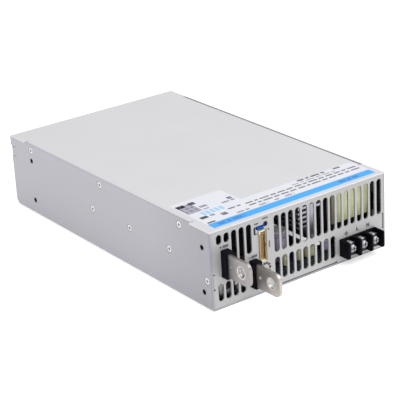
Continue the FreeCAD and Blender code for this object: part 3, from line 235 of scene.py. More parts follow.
sheets = {  # places in mm behind the front and above the underside
    "caseTones": ((0.347, 0.342, 0.375), (0.39, 0.385, 0.418)),
    "coverTones": ((0.535, 0.533, 0.553), (0.595, 0.593, 0.613)),
    "panelTones": ((0.357, 0.353, 0.357), (0.41, 0.406, 0.41)),
    # the inside of the walls is painted dark, painted shade
    "innerShadeTone": (0.030, 0.016, 0.075),
    "caseFrontShade": (80.0, 10.0, 0.17),  # painted shade towards the front: from, to and strength
    # painted shade towards the top: from, to and strength
    "panelTopShade": (5.0, 60.0, 0.11),
    "wall": 84.3,  # half the width between the side walls
    "innerMargins": (1.0, 1.55, 1.4, 3.0),  # kept pale at the front, the rear, the floor and the top
    "edgeLine": (0.2, 0.8, 3.0),  # from, to and foot
    "screws": ((38.2, 58.0), (146.4, 58.0), (254.6, 58.0), (53.0, 33.5), (106.5, 33.5), (160.0, 33.5),
               (6.0, 23.0)),
    # rings of painted shade round the screws' countersinks
    "screwShadeRing": (2.6, 3.2),
    "lineStrength": 0.4,
    "nutMiddle": (132.2, 30.8),
    "nutReach": (122.2, 18.0),
    # painted shade in the mouths of the nut holes
    "nutMouth": 2.3,
    "mouthShadeStrength": 0.93,
}


def wallShadeAndLines(colour, place):  # painted shade: the walls are painted dark inside; a dark line follows their front edge, and rings of painted shade go round the screws
    across = abs(axis(place, 0))
    depth = axis(place, 1)
    height = axis(place, 2)
    wall = sheets["wall"] * mm
    near, far, low, high = (margin * mm for margin in sheets["innerMargins"])
    within = (depth > front + near) * (depth < caseHigh.y - far)
    within = within * (height > low) * (height < caseHigh.z - high)
    # painted shade on the inside of the walls
    colour = blend((across < wall) * within, colour, sheets["innerShadeTone"])
    start, end, foot = (spot * mm for spot in sheets["edgeLine"])
    line = (depth > front + start) * (depth < front + end) * (height > foot)
    # rings of painted shade round the screws
    for behind, rise in sheets["screws"]:
        line = line + ring(depth - (front + behind * mm), height - rise * mm, *sheets["screwShadeRing"])
    return shaded(colour, line * (across > wall), sheets["lineStrength"])


def nutMouthShade(colour, place):  # painted shade: the mouths of the nut holes are painted near black
    behind, rise = sheets["nutMiddle"]
    along, up = sheets["nutReach"]
    across = abs(axis(place, 1) - (front + behind * mm)) - along * mm
    height = abs(axis(place, 2) - rise * mm) - up * mm
    return shaded(colour, ring(across, height, 0.0, sheets["nutMouth"]), sheets["mouthShadeStrength"])


def sheetMetal(name, tones, metallic, roughness, *details):  # details: functions that add to the colour
    made, surface, place = newMaterial(name)
    clouds = noise(place, 45.0, 3.0)
    grain = noise(place, 0.7)
    colour = blend(clouds * 0.65 + grain * 0.35, *sheets[tones])
    for detail in details:
        colour = detail(colour, place)
    apply(surface, {"Base Color": colour, "Metallic": metallic,
                    "Roughness": roughness + clouds * 0.12, "Normal": bump(grain, 0.03, 0.35)})
    return made


def caseFrontShade(colour, place):  # painted shade: a little darker towards the front
    start, end, strength = sheets["caseFrontShade"]
    return shaded(colour, ramp(axis(place, 1), front + start * mm, front + end * mm), strength)


def panelTopShade(colour, place):  # painted shade: a little darker towards the top
    start, end, strength = sheets["panelTopShade"]
    return shaded(colour, ramp(axis(place, 2), start * mm, end * mm), strength)


def brightMetal(name, dark, pale, roughness, lines=(1.0, 1.0, 1.0)):
    made, surface, place = newMaterial(name)
    strokes = noise(stretched(place, lines), 0.5, 3.0)
    patches = noise(place, 6.0, 3.0)
    apply(surface, {"Base Color": blend(patches, dark, pale), "Metallic": 1.0,
                    "Roughness": roughness + strokes * 0.18, "Normal": bump(strokes, 0.02, 0.3)})
    return made


bars = {
    "positiveTones": ((0.27, 0.25, 0.25), (0.38, 0.355, 0.35)),
    "negativeTones": ((0.40, 0.37, 0.345), (0.53, 0.50, 0.475)),
    # a painted highlight on the rims of the holes
    "rimHighlightTone": (0.62, 0.60, 0.60),
    "faceInset": 1.25,  # from the bar's side to the middle of its thickness
    "holeFromTip": 10.2,
    "holeFromTop": 9.25,
    "mark": (7.0, 7.8),
    "markStrength": 0.12,
    "hole": 4.35,
    "rim": 5.1,
    "positivePilot": 9.0,  # in front of the panel
    "negativePilot": 10.4,
    "pilotRim": 1.2,
    "root": (12.0, 24.0),  # the painted shade's start and end behind the tip
    "rootEnd": 3.0,  # behind the front
    "rootShadeStrength": 0.2,
}


def barMetal(name, tones, node, face, pilotDepth):  # painted shade darkens the root, and painted highlights brighten the rims round its holes
    made, surface, place = newMaterial(name)
    low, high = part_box(node)
    middle = (face, low.y + bars["holeFromTip"] * mm, high.z - bars["holeFromTop"] * mm)
    strokes = noise(stretched(place, (6.0, 0.6, 1.0)), 0.5, 3.0)
    patches = noise(place, 5.0, 3.0)
    pilot = (face, front - pilotDepth * mm, middle[2])

    def within(spot, radius):
        reach = place.node("ShaderNodeVectorMath", {"operation": "DISTANCE"}, {0: place, 1: spot},
                           output="Value")
        return reach < radius * mm

    mark = within(middle, bars["mark"][1]) * (1.0 - within(middle, bars["mark"][0]))
    # painted highlights on the rims of both holes
    rimHighlights = within(middle, bars["rim"]) * (1.0 - within(middle, bars["hole"]))
    rimHighlights = rimHighlights + within(pilot, bars["pilotRim"])
    depth = axis(place, 1)
    start, end = bars["root"]
    # painted shade towards the root
    root = ramp(depth, low.y + start * mm, low.y + end * mm) * (depth < front + bars["rootEnd"] * mm)
    colour = shaded(blend(patches, *bars[tones]), root, bars["rootShadeStrength"])
    colour = shaded(colour, mark, bars["markStrength"])
    apply(surface, {"Base Color": blend(rimHighlights, colour, bars["rimHighlightTone"]), "Metallic": 0.9 - rimHighlights * 0.3,
                    "Roughness": 0.30 + strokes * 0.18, "Normal": bump(strokes, 0.02, 0.3)})
    return made


tabs = {
    # the dark tones are painted shade
    "tones": ((0.035, 0.033, 0.036), (0.07, 0.067, 0.07)),
    "glintTone": (0.80, 0.79, 0.77),
    "glintDepth": 0.9,  # below the tabs' top
    "glintEdge": (1.9, 0.7),  # from a tab's middle
    "pitch": 11.75,
    "first": 44.475,  # the first tab's middle, from the middle of the case
}


def platedTab(name, node):  # painted shade and highlight: dark all over, with a painted highlight on the top of each pole's tab
    made, surface, place = newMaterial(name)
    patches = noise(place, 3.0, 3.0)
    across = axis(place, 0) - tabs["first"] * mm
    across = across.math("PINGPONG", across, tabs["pitch"] * mm / 2)
    outer, inner = tabs["glintEdge"]
    top = axis(place, 2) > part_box(node)[1].z - tabs["glintDepth"] * mm
    glint = top * ramp(across, outer * mm, inner * mm)
    colour = blend(glint, blend(patches, *tabs["tones"]), tabs["glintTone"])
    apply(surface, {"Base Color": colour, "Metallic": 0.9,
                    "Roughness": 0.32 + patches * 0.15, "Normal": bump(patches, 0.02, 0.3)})
    return made


cans = {
    "sleeveTones": ((0.23, 0.20, 0.29), (0.33, 0.29, 0.40)),
    "bareEndGlintTone": (0.86, 0.86, 0.88),
    "endDepth": 0.4,
}


def sleevedCan(name, node):  # a printed sleeve, with the bare end on top painted near white: its own pale metal and a painted highlight
    made, surface, place = newMaterial(name)
    patches = noise(place, 8.0)
    end = axis(place, 2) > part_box(node)[1].z - cans["endDepth"] * mm
    sleeve = blend(patches, *cans["sleeveTones"])
    apply(surface, {"Base Color": blend(end, sleeve, cans["bareEndGlintTone"]), "Metallic": end * 0.2,
                    "Roughness": 0.22 + patches * 0.15, "Normal": bump(patches, 0.02, 0.2)})
    return made


sinks = {
    "tones": ((0.44, 0.42, 0.51), (0.56, 0.54, 0.63)),
    "lines": (4.0, 0.15, 4.0),  # stretch of the drawing lines along the depth
    "shadeRamp": (47.0, 36.0, 0.72),  # painted shade: from, to and strength, downwards
}


def extrudedAluminium(name):
    made, surface, place = newMaterial(name)
    lines = noise(stretched(place, sinks["lines"]), 0.5, 3.0)
    patches = noise(place, 6.0, 3.0)
    start, end, strength = sinks["shadeRamp"]
    # painted shade on the lower part
    colour = shaded(blend(patches, *sinks["tones"]), ramp(axis(place, 2), start * mm, end * mm), strength)
    apply(surface, {"Base Color": colour, "Metallic": 1.0, "Roughness": 0.32 + lines * 0.18,
                    "Normal": bump(lines, 0.02, 0.3)})
    return made


shroud = {
    "tones": ((0.50, 0.42, 0.24), (0.60, 0.52, 0.32)),
    "leftWall": (1.4, (0.30, 0.20, 0.12)),  # width in mm and tone
    "rightWall": (1.0, (0.26, 0.20, 0.11)),
    "ends": (2.4, 1.2, (0.66, 0.60, 0.42)),  # heights of the upper and the lower end
    "inside": (0.8, (0.80, 0.68, 0.38)),  # from this depth; painted paler, painted light that makes up for the shade inside
}


def connectorPlastic(name, node):  # tan, brown on the rim of its walls, paler at its ends, and painted paler inside as painted light
    made, surface, place = newMaterial(name)
    low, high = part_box(node)
    skin = noise(place, 0.4)
    patches = noise(place, 4.0)
    across = axis(place, 0)
    height = axis(place, 2)
    wide, tone = shroud["leftWall"]
    colour = blend(across < low.x + wide * mm, blend(patches, *shroud["tones"]), tone)
    upper, lower, tone = shroud["ends"]
    colour = blend((height > high.z - upper * mm) + (height < low.z + lower * mm), colour, tone)
    wide, tone = shroud["rightWall"]
    colour = blend(across > high.x - wide * mm, colour, tone)
    # painted light: the inside is painted paler
    deep, tone = shroud["inside"]
    colour = blend(axis(place, 1) > low.y + deep * mm, colour, tone)
    apply(surface, {"Base Color": colour, "Roughness": 0.38 + skin * 0.15, "Normal": bump(skin, 0.02, 0.4)})
    return made


def mouldedPlastic(name, dark, pale, roughness, grain=0.4, shine=0.5):
    made, surface, place = newMaterial(name)
    skin = noise(place, grain)
    patches = noise(place, 8.0)
    apply(surface, {"Base Color": blend(patches, dark, pale), "Roughness": roughness + skin * 0.15,
                    "Specular IOR Level": shine, "Normal": bump(skin, 0.02, 0.4)})
    return made


glue = {
    "tones": ((0.84, 0.84, 0.86), (0.92, 0.92, 0.94)),
    # the glow is painted light
    "glowTone": (0.80, 0.80, 0.88),
    "glow": 0.35,
}


def siliconeGlue(name):  # it glows a little, painted light that keeps its shaded side pale
    made, surface, place = newMaterial(name)
    skin = noise(place, 1.2)
    apply(surface, {"Base Color": blend(skin, *glue["tones"]), "Roughness": 0.25 + skin * 0.15,
                    "Emission Color": (*glue["glowTone"], 1.0), "Emission Strength": glue["glow"],
                    "Normal": bump(skin, 0.02, 0.4)})
    return made


boards = {
    "tones": ((0.008, 0.013, 0.021), (0.016, 0.025, 0.038)),
    "trackTone": (0.030, 0.060, 0.070),
    "tracks": 180.0,  # per metre
    "trackWidth": 0.1,
    "edge": 1.0,  # pale depth of a bare front edge
    "edgeTone": (0.52, 0.51, 0.58),
}


def circuitBoard(name, bareEdge=None):  # bareEdge: the node whose front edge is cut and pale
    made, surface, place = newMaterial(name)
    tracks = place.node("ShaderNodeTexVoronoi", {"feature": "DISTANCE_TO_EDGE"},
                        {"Vector": place, "Scale": boards["tracks"]})
    copper = tracks < boards["trackWidth"]
    weave = noise(place, 0.5)
    colour = blend(copper * 0.5, blend(weave, *boards["tones"]), boards["trackTone"])
    if bareEdge:
        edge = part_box(bareEdge)[0].y + boards["edge"] * mm
        colour = blend(axis(place, 1) < edge, colour, boards["edgeTone"])
    apply(surface, {"Base Color": colour, "Roughness": 0.35 + weave * 0.15,
                    "Normal": bump(copper, 0.03, 0.5)})
    return made


tape = {
    "tones": ((0.56, 0.57, 0.33), (0.82, 0.82, 0.54)),
    "wrapTone": (0.44, 0.45, 0.22),
    "wraps": 32.0,  # per metre
    "shadeTone": (0.09, 0.07, 0.045),
    "shadeRamp": (9.0, 2.0, 0.85),  # painted shade: from, to and strength, towards the coil's left end
}


def tapedCoil(name, direction, shadeNode=None):
    made, surface, place = newMaterial(name)
    wraps = place.node("ShaderNodeTexWave", {"bands_direction": direction},
                       {"Vector": place, "Scale": tape["wraps"], "Distortion": 0.6, "Detail": 1.0})
    creases = noise(place, 1.5, 3.0)
    colour = blend(wraps * 0.25, blend(creases, *tape["tones"]), tape["wrapTone"])
    # painted shade towards the coil's left end
    if shadeNode:
        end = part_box(shadeNode)[0].x
        far, near, strength = tape["shadeRamp"]
        shadeRamp = ramp(axis(place, 0), end + far * mm, end + near * mm)
        colour = blend(shadeRamp * strength, colour, tape["shadeTone"])
    apply(surface, {"Base Color": colour, "Roughness": 0.16 + creases * 0.2,
                    "Normal": bump(wraps + creases * 0.5, 0.12, 0.6)})
    return made


def enamelledWire(name):
    made, surface, place = newMaterial(name)
    turns = place.node("ShaderNodeTexWave", {"bands_direction": "DIAGONAL"},
                       {"Vector": place, "Scale": 160.0})
    heat = noise(place, 5.0)
    apply(surface, {"Base Color": blend(heat, (0.42, 0.17, 0.05), (0.62, 0.30, 0.10)), "Metallic": 0.7,
                    "Roughness": 0.25 + heat * 0.2, "Normal": bump(turns, 0.15, 0.6)})
    return made


def printedInk(name, colour):
    made, surface, place = newMaterial(name)
    screen = noise(place, 0.25, 1.0)
    deeper = tuple(channel * 0.82 for channel in colour)
    apply(surface, {"Base Color": blend(screen, deeper, colour), "Roughness": 0.35 + screen * 0.1})
    return made


def lampResin(name):
    made, surface, place = newMaterial(name)
    haze = noise(place, 0.6)
    apply(surface, {"Base Color": blend(haze, (0.10, 0.012, 0.010), (0.18, 0.024, 0.020)),
                    "Roughness": 0.12 + haze * 0.1, "Coat Weight": 0.5})
    return made


materials = {
    "caseSheet": sheetMetal("caseSheet", "caseTones", 0.35, 0.42, caseFrontShade, wallShadeAndLines),
    "nutSheet": sheetMetal("nutSheet", "caseTones", 0.35, 0.42, wallShadeAndLines, nutMouthShade),
    "coverSheet": sheetMetal("coverSheet", "coverTones", 0.30, 0.40),
    "panelSheet": sheetMetal("panelSheet", "panelTones", 0.30, 0.42, panelTopShade),
    "platedSteel": brightMetal("platedSteel", (0.56, 0.56, 0.56), (0.70, 0.70, 0.70), 0.22),
    "positiveBar": barMetal("positiveBar", "positiveTones", "positive_bar",
                            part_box("positive_bar")[0].x + bars["faceInset"] * mm, bars["positivePilot"]),
    "negativeBar": barMetal("negativeBar", "negativeTones", "negative_bar",
                            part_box("negative_bar")[1].x - bars["faceInset"] * mm, bars["negativePilot"]),
    "platedTab": platedTab("platedTab", "terminal_plates"),
    "screwSteel": brightMetal("screwSteel", (0.26, 0.25, 0.27), (0.42, 0.41, 0.43), 0.24),
    # painted shade: the terminal washers' dark tone
    "darkSteel": brightMetal("darkSteel", (0.06, 0.06, 0.065), (0.11, 0.105, 0.11), 0.28),
    "brightPlate": brightMetal("brightPlate", (0.62, 0.60, 0.55), (0.78, 0.76, 0.70), 0.22),
    "aluminium": brightMetal("aluminium", (0.62, 0.62, 0.64), (0.78, 0.78, 0.80), 0.30, sinks["lines"]),
    "sinkAluminium": extrudedAluminium("sinkAluminium"),
    "brassPillar": brightMetal("brassPillar", (0.60, 0.45, 0.18), (0.75, 0.58, 0.26), 0.25),
    "goldContact": brightMetal("goldContact", (0.72, 0.52, 0.18), (0.86, 0.66, 0.28), 0.22),
    "blackPlastic": mouldedPlastic("blackPlastic", (0.0012, 0.0010, 0.0025), (0.004, 0.003, 0.007), 0.45,
                                   shine=0.06),
    "fanPlastic": mouldedPlastic("fanPlastic", (0.014, 0.014, 0.016), (0.024, 0.024, 0.027), 0.42, shine=0.4),
    "packagePlastic": mouldedPlastic("packagePlastic", (0.006, 0.007, 0.011), (0.013, 0.015, 0.021), 0.5,
                                     shine=0.15),
    "connectorPlastic": connectorPlastic("connectorPlastic", "signal_connector"),
    "ivoryPlastic": mouldedPlastic("ivoryPlastic", (0.62, 0.50, 0.24), (0.72, 0.61, 0.34), 0.38),
    "bluePlastic": mouldedPlastic("bluePlastic", (0.001, 0.045, 0.24), (0.003, 0.065, 0.32), 0.32,
                                  shine=0.08),
    "darkBluePlastic": mouldedPlastic("darkBluePlastic", (0.001, 0.006, 0.045), (0.003, 0.010, 0.065), 0.35,
                                      shine=0.15),
    "capacitorBox": mouldedPlastic("capacitorBox", (0.32, 0.32, 0.19), (0.42, 0.41, 0.26), 0.3),
    "smallCan": sleevedCan("smallCan", "output_capacitors"),
    "largeCan": sleevedCan("largeCan", "bulk_capacitors"),
    "whiteGlue": siliconeGlue("whiteGlue"),
    "brownPlastic": mouldedPlastic("brownPlastic", (0.06, 0.03, 0.015), (0.10, 0.055, 0.03), 0.4),
    "greyCoating": mouldedPlastic("greyCoating", (0.20, 0.17, 0.28), (0.30, 0.27, 0.38), 0.3),
    "ferrite": mouldedPlastic("ferrite", (0.010, 0.009, 0.014), (0.022, 0.020, 0.030), 0.6, 0.2, 0.2),
    "ceramic": mouldedPlastic("ceramic", (0.70, 0.68, 0.62), (0.80, 0.78, 0.72), 0.35),
    "floorFilm": mouldedPlastic("floorFilm", (0.003, 0.002, 0.006), (0.006, 0.004, 0.012), 0.4, shine=0.12),
    "labelFilm": mouldedPlastic("labelFilm", (0.565, 0.575, 0.62), (0.60, 0.61, 0.655), 0.35, shine=0.3),
    "leadSleeve": mouldedPlastic("leadSleeve", (0.02, 0.02, 0.02), (0.03, 0.03, 0.03), 0.55),
    "circuitBoard": circuitBoard("circuitBoard"),
    "uprightBoard": circuitBoard("uprightBoard", "control_board"),
    "tapedCoil": tapedCoil("tapedCoil", "Z"),
    "chokeTape": tapedCoil("chokeTape", "X", "line_choke_coil"),
    "enamelledWire": enamelledWire("enamelledWire"),
    "lampResin": lampResin("lampResin"),
    "blueInk": printedInk("blueInk", (0.012, 0.32, 0.76)),
    "paleInk": printedInk("paleInk", (0.40, 0.38, 0.46)),
    "greyInk": printedInk("greyInk", (0.16, 0.15, 0.20)),
    "darkInk": printedInk("darkInk", (0.03, 0.028, 0.045)),
    "deepBlueInk": printedInk("deepBlueInk", (0.02, 0.14, 0.45)),
    "skyInk": printedInk("skyInk", (0.26, 0.50, 0.74)),
}
nodeMaterials = {
    "chassis": "caseSheet",
    "cover": "coverSheet",
    "front_panel": "panelSheet",
    "cover_screws": "platedSteel",
    "heat_sink_screws": "platedSteel",
    "panel_screws": "platedSteel",
    "mounting_nuts": "nutSheet",
    "fan_screws": "platedSteel",
    "board_screws": "platedSteel",
    "bar_bolts": "platedSteel",
    "positive_bar": "positiveBar",
    "negative_bar": "negativeBar",
    "positive_bushing": "blackPlastic",
    "negative_bushing": "blackPlastic",
    "terminal_block": "blackPlastic",
    "left_fan_frame": "fanPlastic",
    "right_fan_frame": "fanPlastic",
    "left_fan_rotor": "fanPlastic",
    "right_fan_rotor": "fanPlastic",
    "terminal_plates": "platedTab",
    "terminal_washers": "darkSteel",
    "terminal_screws": "screwSteel",
    "fuse_clips": "brightPlate",
    "control_board": "uprightBoard",
    "main_board": "circuitBoard",
    "signal_connector": "connectorPlastic",
    "fan_headers": "ivoryPlastic",
    "connector_pins": "goldContact",
    "trimmer_body": "bluePlastic",
    "trimmer_rotor": "darkBluePlastic",
    "status_lamp": "lampResin",
    "insulation_film": "floorFilm",
    "board_standoffs": "brassPillar",
    "left_heat_sink": "aluminium",
    "right_heat_sink": "aluminium",
    "centre_heat_sink": "sinkAluminium",
    "transistors": "packagePlastic",
    "sounder": "blackPlastic",
    "bridge_rectifiers": "packagePlastic",
    "line_choke_base": "packagePlastic",
    "inrush_relay": "packagePlastic",
    "film_capacitors": "capacitorBox",
    "mains_capacitors": "capacitorBox",
    "output_capacitors": "smallCan",
    "bulk_capacitors": "largeCan",
    "line_choke_coil": "tapedCoil",
    "boost_choke_coil": "tapedCoil",
    "transformer_coil": "tapedCoil",
    "line_choke_core": "ferrite",
    "boost_choke_core": "ferrite",
    "transformer_core": "ferrite",
    "output_chokes": "enamelledWire",
    "left_fan_stator": "enamelledWire",
    "right_fan_stator": "enamelledWire",
    "line_fuse": "ceramic",
    "rating_label": "labelFilm",
    "left_fan_lead": "leadSleeve",
    "right_fan_lead": "leadSleeve",
}
for node, finish in nodeMaterials.items():
    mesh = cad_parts[node].data
    mesh.materials.clear()
    mesh.materials.append(materials[finish])
print("materials on", len(nodeMaterials), "nodes; without one:",
      sorted(set(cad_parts) - set(nodeMaterials)))


# Shapes that several pieces use

def newPiece(name, shape, finishes):
    mesh = bpy.data.meshes.new(name)
    bmesh.ops.recalc_face_normals(shape, faces=shape.faces)
    shape.to_mesh(mesh)
    shape.free()
    piece = bpy.data.objects.new(name, mesh)
    bpy.context.collection.objects.link(piece)
    for finish in finishes:
        mesh.materials.append(materials[finish])
    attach(piece, "case")
    return piece


def addBox(shape, low, high, finish=0):
    centre = (Vector(low) + Vector(high)) / 2
    size = Vector(high) - Vector(low)
    place = Matrix.Translation(centre) @ Matrix.Diagonal((*size, 1.0))
    made = bmesh.ops.create_cube(shape, size=1.0, matrix=place)
    faces = {face for vert in made["verts"] for face in vert.link_faces}
    for face in faces:
        face.material_index = finish
    return faces


def rounded(shape, edges, radius, segments):  # radius in mm
    bmesh.ops.bevel(shape, geom=edges, offset=radius * mm, segments=segments, profile=0.5, affect="EDGES",
                    material=-1)


def addRounded(shape, low, high, radius, segments=4):
    faces = addBox(shape, low, high)
    rounded(shape, list({edge for face in faces for edge in face.edges}), radius, segments)


def meshOfCurve(curve):
    holder = bpy.data.objects.new("curve", curve)
    bpy.context.collection.objects.link(holder)
    bpy.context.view_layer.update()
    mesh = bpy.data.meshes.new_from_object(holder.evaluated_get(bpy.context.evaluated_depsgraph_get()))
    bpy.data.objects.remove(holder)
    bpy.data.curves.remove(curve)
    return mesh


def smooth(piece):
    for polygon in piece.data.polygons:
        polygon.use_smooth = True


def addText(shape, words, place, turn, height, depth, bold):
    curve = bpy.data.curves.new("words", "FONT")
    curve.body = words
    curve.size = height
    curve.offset = bold
    curve.extrude = depth
    curve.align_x = "CENTER"
    curve.align_y = "CENTER"
    mesh = meshOfCurve(curve)
    mesh.transform(Matrix.Translation(place) @ turn)
    shape.from_mesh(mesh)
    bpy.data.meshes.remove(mesh)


# Print: rows of small blocks that say nothing

printing = {
    "inkHeight": 0.03,
    "blockWidths": (1.1, 0.7, 1.4, 0.9, 1.2, 0.6, 1.0),
    "blockGap": 0.28,
    "wordBlocks": (5, 3, 7, 4, 6),
    "wordGap": 1.6,
}


def printLine(shape, corner, along, rise, length, height, finish=0, scale=1.0):  # corner in m, the rest in mm
    along = Vector(along)
    rise = Vector(rise)
    outward = along.cross(rise) * printing["inkHeight"]
    widths = itertools.cycle(printing["blockWidths"])
    done = 0.0
    for blocks in itertools.cycle(printing["wordBlocks"]):
        for width in itertools.islice(widths, blocks):
            if done + width * scale > length:
                return
            low = corner + along * done * mm
            addBox(shape, low, low + (along * width * scale + rise * height + outward) * mm, finish)
            done += (width + printing["blockGap"]) * scale
        done += printing["wordGap"] * scale


# Label: fields of colour and lines of print, in mm from its near left corner

label = {
    "thickness": 0.08,
    "corner": 1.0,
    "step": (48.0, 30.9),  # the deep part's width, the shallow part's depth
    "inks": ("blueInk", "darkInk", "greyInk", "deepBlueInk", "skyInk", "paleInk"),
    "cells": (13, 15),
    "cell": 0.98,
    "cellPitch": (0.98, 1.127),
    "cellStart": (0.2, 0.4),  # from the grey field's corner
    "strip": ((0.6, 0.5), (157.9, 8.9)),
    "stripWords": ((7.0, 3.0, 25.0, 3.4), (124.0, 3.0, 20.0, 3.4)),  # left, near, length, height
    "greyField": ((1.4, 33.4), (14.5, 51.0)),
    "darkFields": (((1.4, 46.5), (8.5, 51.6)), ((13.0, 47.0), (18.2, 51.8)), ((3.4, 19.4), (10.0, 23.4)),
                   ((2.2, 10.0), (9.2, 12.0))),
    "skyBlocks": (9.5, 24.6, 6.6, 4.2, 5),  # left, near, height, pitch, count
    "skyBlockWidth": 2.6,
    "darkLines": ((45.5, 20.4, 46.0, 1.9), (93.5, 20.4, 64.0, 1.9), (45.5, 15.8, 46.0, 1.9),
                  (93.5, 15.8, 64.0, 1.9), (102.0, 27.6, 28.0, 2.6), (139.0, 27.6, 8.0, 2.6),
                  (29.5, 21.0, 12.0, 2.0), (41.5, 37.0, 4.5, 4.2), (20.0, 15.0, 5.0, 4.6)),
    "paleLines": ((30.0, 11.0, 14.0, 2.0), (51.0, 10.8, 9.0, 2.0), (66.0, 10.8, 4.0, 2.0),
                  (76.0, 10.8, 9.5, 2.0), (16.0, 33.6, 6.0, 1.8), (33.5, 33.6, 12.0, 2.2),
                  (16.0, 38.0, 7.0, 3.4), (94.0, 24.6, 44.0, 1.2), (12.5, 20.0, 4.0, 3.0)),
}


def labelFilm(low, high):
    shape = bmesh.new()
    bmesh.ops.create_grid(shape, x_segments=2, y_segments=2, size=0.5)
    across = {-1: low.x, 0: low.x + label["step"][0] * mm, 1: high.x}
    along = {-1: low.y, 0: low.y + label["step"][1] * mm, 1: high.y}
    beyond = [face for face in shape.faces if min(face.calc_center_median().xy) > 0]
    bmesh.ops.delete(shape, geom=beyond, context="FACES")
    for vert in shape.verts:
        vert.co = (across[round(vert.co.x * 2)], along[round(vert.co.y * 2)], low.z)
    made = bmesh.ops.extrude_face_region(shape, geom=shape.faces[:])
    raised = [vert for vert in made["geom"] if isinstance(vert, bmesh.types.BMVert)]
    bmesh.ops.translate(shape, verts=raised, vec=(0, 0, label["thickness"] * mm))
    bmesh.ops.recalc_face_normals(shape, faces=shape.faces)
    upright = [edge for edge in shape.edges if abs(edge.verts[0].co.z - edge.verts[1].co.z) > mergeReach]
    rounded(shape, [edge for edge in upright if edge.calc_face_angle() > 1.0], label["corner"], 4)
    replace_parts(newPiece("label_film", shape, ["labelFilm"]), "rating_label")


def labelPrint():
    low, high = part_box("rating_label")
    labelFilm(low, high)
    corner = Vector((low.x, low.y, low.z + label["thickness"] * mm))
    ink = Vector((0.0, 0.0, printing["inkHeight"] * mm))
    shape = bmesh.new()

    def field(near, far, finish, layer=0):  # layer 1 lies on top of a field
        addBox(shape, corner + Vector((*near, 0.0)) * mm + ink * layer,
               corner + Vector((*far, 0.0)) * mm + ink * (layer + 1), label["inks"].index(finish))

    def line(start, near, length, height, finish, layer=0):
        printLine(shape, corner + Vector((start, near, 0.0)) * mm + ink * layer, (1, 0, 0), (0, 1, 0), length,
                  height, label["inks"].index(finish))

    field(*label["strip"], "blueInk")
    field(*label["greyField"], "paleInk")
    start, near = (edge + inset for edge, inset in zip(label["greyField"][0], label["cellStart"]))
    wide, deep = label["cellPitch"]
    columns, rows = label["cells"]
    for column in range(columns):
        for row in range(rows):
            if (column * 7 + row * 5 + column * row) % 5 < 2:  # scatters the cells evenly
                spot = (start + column * wide, near + row * deep)
                field(spot, (spot[0] + label["cell"], spot[1] + label["cell"]), "greyInk", 1)
    for dark in label["darkFields"]:
        field(*dark, "darkInk", 1)
    for words in label["stripWords"]:
        line(*words, "deepBlueInk", 1)
    start, near, height, pitch, count = label["skyBlocks"]
    for index in range(count):
        place = start + index * pitch
        field((place, near), (place + label["skyBlockWidth"], near + height), "skyInk")
    for words in label["darkLines"]:
        line(*words, "darkInk")
    for words in label["paleLines"]:
        line(*words, "greyInk")
    newPiece("label_print", shape, label["inks"])


labelPrint()
print("label printed")


# Signs on the panel: plain letters, the earth sign and lines of print, in mm from the left and the underside

signs = {
    "plus": (9.6, 49.1),
    "minus": (35.4, 32.7),
    "signSize": 2.2,
    "signStroke": 0.5,
    "live": (141.8, 23.9),
    "neutral": (152.9, 23.9),
    "earth": (130.4, 23.9),
    "earthBars": (1.9, 1.2, 0.5),
    "earthPitch": 1.0,
    "earthStroke": 0.7,
    "letter": 4.0,
    "bold": 0.28,
    "lines": ((11.6, 48.1, 5.8, 2.0), (37.4, 31.7, 5.8, 2.0), (40.9, 57.0, 4.4, 1.3), (48.6, 59.5, 5.8, 1.3)),
    "uprightLine": (55.3, 35.6, 5.6, 1.4),
    "lineScale": 0.8,
}


def onPanel(across, height):
    return Vector((left + across * mm, front, height * mm))


def panelSigns():
    shape = bmesh.new()
    ink = printing["inkHeight"] * mm
    facing = Matrix.Rotation(math.radians(90), 4, "X")
    for words, spot in (("L", "live"), ("N", "neutral")):
        addText(shape, words, onPanel(*signs[spot]) - Vector((0, ink / 2, 0)), facing, signs["letter"] * mm,
                ink / 2, signs["bold"] * mm)
    arm = signs["signSize"] / 2 * mm
    thin = signs["signStroke"] / 2 * mm
    for spot, upright in (("plus", True), ("minus", False)):
        middle = onPanel(*signs[spot])
        addBox(shape, middle - Vector((arm, ink, thin)), middle + Vector((arm, 0, thin)))
        if upright:
            addBox(shape, middle - Vector((thin, ink, arm)), middle + Vector((thin, 0, arm)))
    middle = onPanel(*signs["earth"])
    stroke = signs["earthStroke"] / 2 * mm
    addBox(shape, middle - Vector((stroke, ink, 0)), middle + Vector((stroke, 0, signs["earthBars"][0] * mm)))
    for row, half in enumerate(signs["earthBars"]):
        base = middle - Vector((0, 0, row * signs["earthPitch"] * mm))
        addBox(shape, base - Vector((half * mm, ink, stroke)), base + Vector((half * mm, 0, stroke)))
    scale = signs["lineScale"]
    for across, height, length, tall in signs["lines"]:
        printLine(shape, onPanel(across, height), (1, 0, 0), (0, 0, 1), length, tall, scale=scale)
    across, height, length, tall = signs["uprightLine"]
    printLine(shape, onPanel(across, height), (0, 0, 1), (-1, 0, 0), length, tall, scale=scale)
    newPiece("panel_signs", shape, ["darkInk"])


panelSigns()
print("signs made")


# Inside, as far as the slots show it, in mm from the left side, the front and the underside

